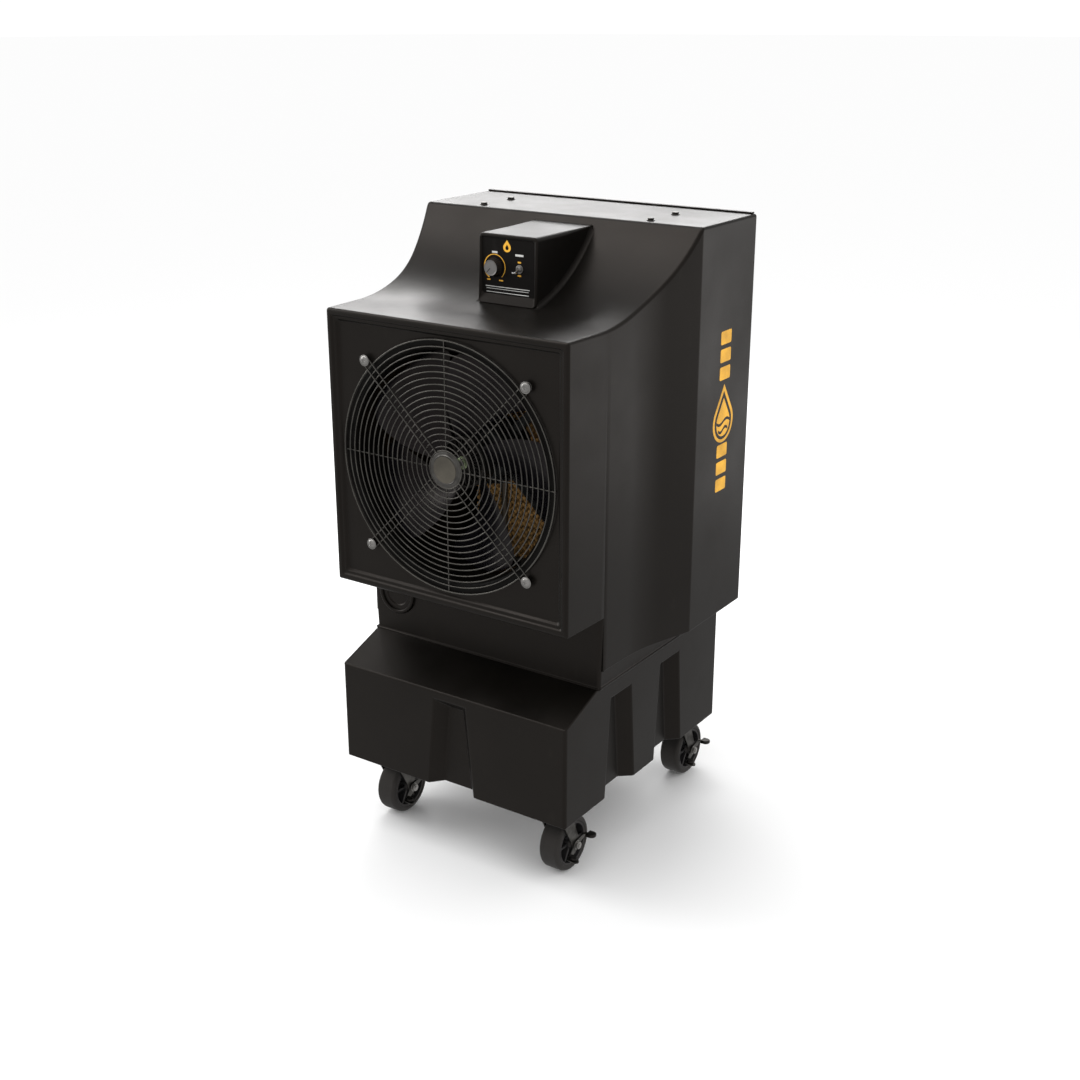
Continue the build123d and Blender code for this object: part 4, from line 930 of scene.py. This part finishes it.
PLATE_HIGH = BOX_HIGH - BEZEL
plate_outline = rectangle(2 * (BOX_HALF - BEZEL) - 0.6, PLATE_HIGH - PLATE_LOW - 0.6, 4.0, 5)
make("control_plate", Shape().add(prism(plate_outline, -2.0, 0.0),
                                  facing_front(BOX_X, PLATE_DEPTH, (PLATE_LOW + PLATE_HIGH) / 2)),
     PLATE, "cabinet", ["control_panel"], bevel=0.3)

KNOB_X, KNOB_Z = -9.6, 1285.0
KNOB_AT = facing_front(KNOB_X, PLATE_DEPTH - 0.4, KNOB_Z)
TOGGLE_X, TOGGLE_Z = 52.0, 1286.0


def flutes(angle, radius, height):
    """Grip ribs around the knob's skirt."""
    if radius < 16.6:
        return radius
    return radius - 0.55 * (0.5 + 0.5 * math.cos(24 * angle)) ** 2


knob_outline = rounded([(0, 14.2), (16.4, 14.2), (17.4, 12.8), (20.0, 0.8), (19.4, 0.0), (0, 0.0)],
                       [0, 0.3, 1.0, 0.5, 0.3, 0], 4, False)
make("knob_skirt", Shape().add(lathe(knob_outline, 144, wave=flutes), KNOB_AT), BLACK, "knob",
     ["speed_knob"])
cap_outline = rounded([(0, 15.1), (13.9, 15.1), (15.6, 15.7), (15.9, 14.1), (0, 14.1)],
                      [0, 1.2, 0.4, 0.2, 0], 4, False)
make("knob_cap", Shape().add(lathe(cap_outline, 96), KNOB_AT), KNOB_SILVER, "knob",
     ["speed_knob_cap"])
pointer = prism(rectangle(13.0, 1.3, 0.6, 4, x=8.0), 14.6, 15.35)
pointer_at = KNOB_AT @ Matrix.Rotation(math.radians(-135), 4, "Z")
make("knob_pointer", Shape().add(pointer, pointer_at), BLACK, "knob")

toggle_at = facing_front(TOGGLE_X, PLATE_DEPTH, TOGGLE_Z)
hexagon = circle(7.9, 6, start=TAU / 12)
nut = Shape().add(prism(rounded(hexagon, 0.8, 3), 0.6, 2.9), toggle_at)
nut.add(lathe(rounded([(5.6, 0), (8.8, 0), (8.8, 0.7), (5.6, 0.7)], [0, 0.2, 0.2, 0], 3), 48, True), toggle_at)
threads = []
for i in range(6):
    threads += [(5.8, 2.4 + 0.4 * i), (5.4, 2.6 + 0.4 * i)]
threads += [(5.2, 4.9), (4.2, 4.6), (3.6, 2.0), (3.6, 0.4), (5.8, 0.4)]
nut.add(lathe(threads, 48, True), toggle_at)
make("toggle_nut", nut, BRIGHT, "cabinet", ["toggle_bushing"], bevel=0.35)

TOGGLE_REST = 18  # degrees below level
bat = rounded([(0, -2.6), (2.4, -2.6), (2.1, 3.0), (3.1, 15.0), (3.1, 21.6), (0, 21.8)],
              [0, 1.2, 1.0, 4.0, 2.6, 0], 6, False)
pivot = Matrix.Translation((TOGGLE_X, FRONT + PLATE_DEPTH + 2, TOGGLE_Z))
pivot = pivot @ Matrix.Rotation(math.radians(TOGGLE_REST), 4, "X")
lever = Shape().add(lathe(bat, 32), pivot @ TO_FRONT)
make("toggle_bat", lever, BRIGHT, "toggle", ["toggle_lever"])


# Printed marks: plain bars, an arc and a water drop

MARK = 0.22


def on_plate(x, z):
    return facing_front(x, PLATE_DEPTH, z)


def bar(x0, x1, z, height, corner=0.5):
    outline = rectangle(x1 - x0, height, corner, 3)
    return prism(outline, -0.2, MARK), on_plate((x0 + x1) / 2, z)


def drop(radius, tip, steps=28):
    """Outline of a water drop: a circle drawn out to a tip above it."""
    half = math.acos(radius / tip)
    start = TAU / 4 - half
    sweep = TAU - 2 * half
    arc = [(radius * math.cos(start - sweep * i / steps), radius * math.sin(start - sweep * i / steps))
           for i in range(steps + 1)]
    return [(0, tip)] + arc


def arc_band(radius, start, end, wide, narrow, steps=60):
    """A flat band around the knob that gets narrower along its length."""
    outer, inner = [], []
    for i in range(steps + 1):
        angle = math.radians(start + (end - start) * i / steps)
        width = wide + (narrow - wide) * i / steps
        for side, made in ((0.5, outer), (-0.5, inner)):
            made.append(((radius + side * width) * math.cos(angle), (radius + side * width) * math.sin(angle)))
    return outer + inner[::-1]


yellow = Shape()
yellow.add(prism(arc_band(26.0, 238, -48, 2.6, 0.9), -0.2, MARK), on_plate(KNOB_X, KNOB_Z))
for mark in (bar(-29, -21, 1258.5, 2.8), bar(1, 11, 1258.5, 2.8),
             bar(48, 56, 1299.5, 3.2), bar(48, 56, 1272.5, 3.2)):
    yellow.add(*mark)
yellow.add(prism(drop(9.4, 15.0), -0.2, MARK), on_plate(21.5, 1327.0))
make("control_marks_yellow", yellow, YELLOW, "cabinet")
dark = Shape().add(prism(drop(4.0, 7.4), -0.1, MARK + 0.12), on_plate(21.5, 1326.0))
make("control_drop_centre", dark, PLATE, "cabinet")
white = Shape()
for mark in (bar(-16, -2.5, 1315.5, 4.0), bar(42, 62, 1313.5, 4.2), bar(33, 40, 1277, 2.6),
             bar(-33, 77, 1245.0, 1.4), bar(-31, 75, 1240.5, 1.0), bar(-31, 75, 1233.5, 1.3)):
    white.add(*mark)
make("control_marks_white", white, WHITE, "cabinet")

SIDE_Y, SIDE_Z = 537.0, 957.0


def on_side(y, z):
    return facing_right(PAD_HALF - 0.05, FRONT + y, z)


side_mark = Shape()
for z in (1122, 1083, 1044, 870, 831, 792):
    side_mark.add(prism(rectangle(47, 29, 4, 4), -0.3, MARK), on_side(SIDE_Y, z))
outer_drop = drop(46, 84, 56)
middle_drop = [(x * 0.83, z * 0.83 - 1.0) for x, z in outer_drop]
inner_drop = [(x * 0.66, z * 0.66 - 2.0) for x, z in outer_drop]
side_mark.add(prism(outer_drop, -0.3, MARK), on_side(SIDE_Y, SIDE_Z - 22))
make("side_mark_yellow", side_mark, YELLOW, "cabinet")
make("side_mark_gap", Shape().add(prism(middle_drop, -0.3, MARK + 0.1), on_side(SIDE_Y, SIDE_Z - 22)), SHELL,
     "cabinet")
core = Shape().add(prism(inner_drop, -0.3, MARK + 0.2), on_side(SIDE_Y, SIDE_Z - 22))
make("side_mark_core", core, YELLOW, "cabinet")
WAVE_HEIGHT, WAVE_THICK = 5, 3.2
wave_outline = [(y, WAVE_HEIGHT * math.sin(y / 30 * math.pi) + WAVE_THICK) for y in range(-30, 31, 3)]
wave_outline += [(y, WAVE_HEIGHT * math.sin(y / 30 * math.pi) - WAVE_THICK) for y in range(30, -31, -3)]
waves = Shape()
for lower, width in ((22, 1.0), (40, 0.72)):
    outline = [(y * width, z) for y, z in wave_outline]
    waves.add(prism(outline, -0.3, MARK + 0.3), on_side(SIDE_Y, SIDE_Z - lower))
make("side_mark_waves", waves, SHELL, "cabinet")


# Bolts on the top

def hex_bolt(across, height, washer):
    """A chamfered hexagon head on a round washer, standing on local z = 0."""
    form = Shape()
    form.add(lathe(rounded([(0, 0), (washer, 0), (washer, 1.4), (0, 1.4)], [0, 0.4, 0.4, 0], 3, False), 40))
    radius = across / math.sqrt(3)
    outline = circle(radius, 48)
    loops = []
    for level, cut in ((1.2, 1.0), (height * 0.72, 1.0), (height, 0.9)):
        loop = []
        for x, y in outline:
            angle = math.atan2(y, x)
            flat = math.cos((angle % (TAU / 6)) - TAU / 12)
            reach = radius * math.cos(TAU / 12) / flat
            limit = radius * (1.02 if cut == 1.0 else 0.9)
            loop.append((min(reach, limit) * math.cos(angle), min(reach, limit) * math.sin(angle), level))
        loops.append(loop)
    form.add(loft(loops))
    return form


top_bolts = Shape()
for x in (-214, 214):
    for y in (444, 548):
        bolt = hex_bolt(13.0, 5.6, 9.2)
        place = Matrix.Translation((x, FRONT + y, TOP_Z)) @ Matrix.Rotation(math.radians(x + y), 4, "Z")
        top_bolts.add(bolt, place)
make("top_hex_bolts", top_bolts, ZINC, "cabinet", ["top_bolts"])


# Evaporative pad: corrugated sheets that lean against each other in turn

PAD_HALF_WIDTH, PAD_NEAR, PAD_FAR, PAD_LOW, PAD_HIGH = 318.0, 540.0, 640.0, 500.0, 1325.0
SHEET_PITCH, FLUTE_LENGTH, FLUTE_HEIGHT, SHEET_THICK = 8.0, 16.0, 3.5, 0.5


def flute_sheet(x, phase, lean, steps):
    """One corrugated sheet from the pad's front to its back. Its flutes climb by lean per millimetre."""
    depths = (PAD_NEAR, PAD_NEAR + 8, PAD_NEAR + 18, PAD_FAR - 18, PAD_FAR - 8, PAD_FAR)
    loops = []
    for i in range(steps + 1):
        z = PAD_LOW + (PAD_HIGH - PAD_LOW) * i / steps
        bends = [FLUTE_HEIGHT * math.sin(TAU * (z + lean * (d - PAD_NEAR)) / FLUTE_LENGTH + phase) for d in depths]
        ahead = [(x + bend + SHEET_THICK, FRONT + d, z) for bend, d in zip(bends, depths)]
        behind = [(x + bend - SHEET_THICK, FRONT + d, z) for bend, d in zip(bends, depths)]
        loops.append(ahead + behind[::-1])
    return loft(loops)


flute_steps = round((PAD_HIGH - PAD_LOW) / FLUTE_LENGTH * 5)
pair = Shape()
pair.add(flute_sheet(-PAD_HALF_WIDTH + 4, 0.0, 1.0, flute_steps))
pair.add(flute_sheet(-PAD_HALF_WIDTH + 4 + SHEET_PITCH, math.pi, -0.27, flute_steps))
pad = make("pad_of_corrugated_sheets", pair, PAD, "cabinet", ["evaporative_pad"])
rows = pad.modifiers.new("sheets", "ARRAY")
rows.use_relative_offset = False
rows.use_constant_offset = True
rows.constant_offset_displace = (2 * SHEET_PITCH * MM, 0, 0)
rows.count = int((2 * PAD_HALF_WIDTH - 8) // (2 * SHEET_PITCH))


# Casters

CASTER_X, CASTER_INSET, TRAIL, WHEEL_R, TYRE_HALF = 227.0, 66.0, 40.0, 63.5, 25.0
LEG_IN, LEG_THICK = 28.0, 3.0
CROWN_Z = 146.0
UPSIDE_DOWN = Matrix.Rotation(math.pi, 4, "X")
TYRE_OUTLINE = rounded(
    [(49.6, -23.4), (49.6, 23.4), (52.6, TYRE_HALF), (WHEEL_R, TYRE_HALF), (WHEEL_R, -TYRE_HALF), (52.6, -TYRE_HALF)],
    [0.6, 0.6, 1.2, 9, 9, 1.2], 7)
RIM_OUTLINE = rounded([(45.0, -23.8), (45.0, -4), (45.0, 4), (45.0, 23.8), (49.5, 23.8), (49.5, -23.8)],
                      [1.2, 1, 1, 1.2, 0.8, 0.8], 3)
WEB_OUTLINE = rounded([(0, 2.2), (46.5, 2.2), (46.5, -2.2), (0, -2.2)], [0, 0.4, 0.4, 0], 2, False)
HUB_OUTLINE = rounded([(5.3, -27.4), (5.3, 27.4), (10.6, 27.4), (14.0, 19), (14.0, -19), (10.6, -27.4)],
                      [0.3, 0.3, 1.2, 2.5, 2.5, 1.2], 3)
LEG_OUTLINE = rounded([(-10, 146), (30, 146), (34, 122), (54, 74), (52, 49.5), (28, 49.5), (25, 72), (-4, 126)],
                      [2, 4, 16, 10, 11, 11, 16, 8], 6)
RIB_OUTLINE = rounded([(4, 138), (17, 138), (44, 78), (36, 76)], [4, 5, 4, 4], 5)


def spoke(angle):
    """A wheel spoke, thicker at the hub, on both sides of the web."""
    outline = [(12, -3.4), (46.5, -2.2), (46.5, 2.2), (12, 3.4)]
    return prism(outline, -18.0, 18.0), Matrix.Rotation(angle, 4, "Z")


def foot_tab(along, up, width, start, reach, lift, thick=2.6):
    """A brake pedal: a tongue with a round end that sticks out sideways from the rocker."""
    half = width / 2
    outline = [(start, -half), (reach - half, -half)]
    outline += [(reach - half + half * math.sin(math.pi * k / 12), -half * math.cos(math.pi * k / 12))
                for k in range(1, 12)]
    outline += [(reach - half, half), (start, half)]
    loops = []
    for level, shrink in ((0.0, 0.8), (0.25, 1.0), (0.75, 1.0), (1.0, 0.8)):
        loop = []
        for u, v in outline:
            out = reach / 2 + (u - reach / 2) * (0.5 + shrink / 2)
            loop.append((along + v * shrink, up + level * thick + lift * (u / reach) ** 2, out))
        loops.append(loop)
    return loft(loops)


def caster(name, x, y):
    """Everything at one corner. Local x is to the back, y up and z to the right, from the axle or the swivel."""
    axle = facing_right(x, FRONT + y + TRAIL, WHEEL_R)
    swivel = facing_right(x, FRONT + y, 0)
    upright = Matrix.Translation((x, FRONT + y, 0))

    plate = Shape().add(prism(rectangle(92, 100, 7, 5), 160.0, 163.9), upright)
    race = rounded([(0, 160.5), (33, 160.5), (31, 156.4), (25, 154.2), (0, 154.2)], [0, 1, 2, 1.5, 0], 4, False)
    plate.add(lathe(race, 56), upright)
    make(f"caster_top_{name}", plate, ZINC, "cabinet", [f"caster_plate_{name}"], bevel=0.7)

    fork = Shape().add(prism(rectangle(2 * (LEG_IN + LEG_THICK), 50, 6, 5, y=5), CROWN_Z - 4, CROWN_Z), upright)
    crown = rounded([(0, 153.6), (20, 153.6), (22, 150.6), (27, 147.8), (27, CROWN_Z - 1), (0, CROWN_Z - 1)],
                    [0, 1, 2, 2, 0, 0], 4, False)
    fork.add(lathe(crown, 56), upright)
    kingpin = hex_bolt(17, 9, 12)
    fork.add(kingpin, upright @ Matrix.Translation((0, 0, CROWN_Z - 4)) @ UPSIDE_DOWN)
    for side in (-1, 1):
        near, far = sorted((side * LEG_IN, side * (LEG_IN + LEG_THICK)))
        fork.add(prism(LEG_OUTLINE, near, far), swivel)
    fork.add(prism(RIB_OUTLINE, -LEG_IN - LEG_THICK - 0.9, -LEG_IN - LEG_THICK + 1), swivel)
    make(f"fork_{name}", fork, ZINC, f"caster_{name}", [f"caster_fork_{name}"], bevel=0.8)

    bolt = Shape()
    head = hex_bolt(15, 7.5, 10.5)
    bolt.add(head, axle @ Matrix.Translation((0, 0, -LEG_IN - LEG_THICK)) @ UPSIDE_DOWN)
    bolt.add(head, axle @ Matrix.Translation((0, 0, LEG_IN + LEG_THICK + 3.3)))
    bolt.add(lathe([(0, 43.6), (4.2, 43.6), (5, 42.8), (5, -35), (0, -35)], 32), axle)
    make(f"axle_{name}", bolt, BRIGHT, f"caster_{name}", [f"caster_axle_{name}"])

    make(f"tread_{name}", Shape().add(lathe(TYRE_OUTLINE, 112, True), axle), TYRE, f"wheel_{name}",
         [f"tyre_{name}"])
    core = Shape().add(lathe(RIM_OUTLINE, 96, True), axle)
    core.add(lathe(WEB_OUTLINE, 96), axle)
    core.add(lathe(HUB_OUTLINE, 48, True), axle)
    for i in range(6):
        form, turn = spoke(TAU * i / 6)
        core.add(form, axle @ turn)
    make(f"spoked_core_{name}", core, WHEEL, f"wheel_{name}", [f"wheel_core_{name}"],
         bevel=0.8)

    out = axle @ Matrix.Translation((0, 0, LEG_IN + LEG_THICK + 0.5))
    rocker = Shape()
    arm = rounded([(-29, -20), (-22, -25), (8, -10), (14, -2), (38, 7), (36, 14), (4, 10), (-9, 5)],
                  [4, 4, 7, 6, 3, 3, 9, 8], 5)
    rocker.add(prism(arm, 0.0, 2.3), out)
    rocker.add(foot_tab(-25, -24.0, 19, 0, 23, -3.5), out)
    rocker.add(foot_tab(36, 9.5, 9, 0, 22, 1.0), out)
    make(f"brake_rocker_{name}", rocker, ZINC, f"brake_{name}", [f"brake_lever_{name}"],
         bevel=0.5)
    pedal = Shape().add(foot_tab(37, 6.5, 20, 8, 28, 1.0, 9.0), out)
    pedal.add(foot_tab(-24, -21.0, 15, 3, 18, -2.0, 6.0), out)
    make(f"brake_pedal_{name}", pedal, BLACK, f"brake_{name}")


corners = {
    "front_left": (-CASTER_X, CASTER_INSET),
    "front_right": (CASTER_X, CASTER_INSET),
    "back_left": (-CASTER_X, TANK_DEPTH - CASTER_INSET),
    "back_right": (CASTER_X, TANK_DEPTH - CASTER_INSET),
}
plate_bolts = Shape()
for name, (x, y) in corners.items():
    caster(name, x, y)
    for dx in (-34, 34):
        for dy in (-38, 38):
            bolt = hex_bolt(12.5, 4.6, 7.5)
            place = Matrix.Translation((x + dx, FRONT + y + dy, 160)) @ UPSIDE_DOWN
            plate_bolts.add(bolt, place)
make("caster_plate_bolts", plate_bolts, ZINC, "cabinet", ["caster_bolts"])


# Finishes of the CAD pieces that keep their own shape

KEPT = {
    "motor_shaft": ZINC,
    "motor_bracket": BRACKET,
    "pad_frame": BRACKET,
    "water_pipe": PIPE,
    "pump_riser": PIPE,
    "pump_body": BLACK,
    "pump_impeller": BLACK,
    "float_valve": BLACK,
    "float_arm": BLACK,
    "drain_plug": BLACK,
    "water_inlet": BRASS,
}
for node, finish in KEPT.items():
    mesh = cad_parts[node].data
    mesh.materials.clear()
    mesh.materials.append(finish)


# Floor and light

def area_light(name, place, aim, size, energy, colour=(1, 1, 1)):
    """A large soft light that the camera does not see."""
    lamp = bpy.data.lights.new(name, "AREA")
    lamp.shape = "RECTANGLE"
    lamp.size, lamp.size_y = size
    lamp.energy = energy
    lamp.color = colour
    obj = bpy.data.objects.new(name, lamp)
    scene.collection.objects.link(obj)
    obj.location = place
    obj.rotation_mode = "QUATERNION"
    obj.rotation_quaternion = (Vector(aim) - Vector(place)).to_track_quat("-Z", "Y")
    obj.visible_camera = False
    return obj


world = bpy.data.worlds.new("studio")
scene.world = world
world.use_nodes = True
tree = world.node_tree
sky = tree.nodes["Background"]
sky.inputs["Color"].default_value = (1, 1, 1, 1)
# a white room, with less of it mirrored in the plastic than falls on the floor
seen = tree.nodes.new("ShaderNodeLightPath")
strength = tree.nodes.new("ShaderNodeMapRange")
strength.inputs["To Min"].default_value = 1.05
strength.inputs["To Max"].default_value = 0.42
tree.links.new(seen.outputs["Is Glossy Ray"], strength.inputs["Value"])
tree.links.new(strength.outputs["Result"], sky.inputs["Strength"])

floor_shape = bmesh.new()
bmesh.ops.create_circle(floor_shape, cap_ends=True, segments=96, radius=60.0)
floor_mesh = bpy.data.meshes.new("floor")
floor_shape.to_mesh(floor_mesh)
floor_shape.free()
floor = bpy.data.objects.new("floor", floor_mesh)
scene.collection.objects.link(floor)
floor.location.z = -0.0005
FLOOR, _, _ = nodes_of("pale_floor", (0.93, 0.93, 0.93), 0.9, specular=0.0)
floor_mesh.materials.append(FLOOR)
floor.visible_glossy = False  # a mirrored floor would lighten the dark plastic

area_light("back_softbox", (-2.0, 3.3, 2.9), (0, 0.1, 1.2), (3.2, 1.6), 82)
area_light("top_softbox", (-0.6, -0.6, 4.2), (0, 0, 0.6), (3.0, 3.0), 32)
area_light("left_softbox", (-3.4, -1.2, 2.2), (0, 0, 0.8), (1.6, 2.2), 35)
area_light("front_softbox", (-1.7, -0.9, 3.4), (0, FRONT * MM, 0.7), (1.2, 1.2), 8)
area_light("right_softbox", (2.6, 2.9, 0.6), (0.35, 0, 0.6), (2.4, 2.0), 12)
# between the fan and the pad, so that the pad can be seen through the guard
area_light("pad_light", (-0.05, (FRONT + 400) * MM, 0.66), (-0.08, (FRONT + PAD_NEAR) * MM, 0.6), (0.4, 0.3), 0.22,
           (1.0, 0.88, 0.72))

scene.view_settings.view_transform = "Standard"
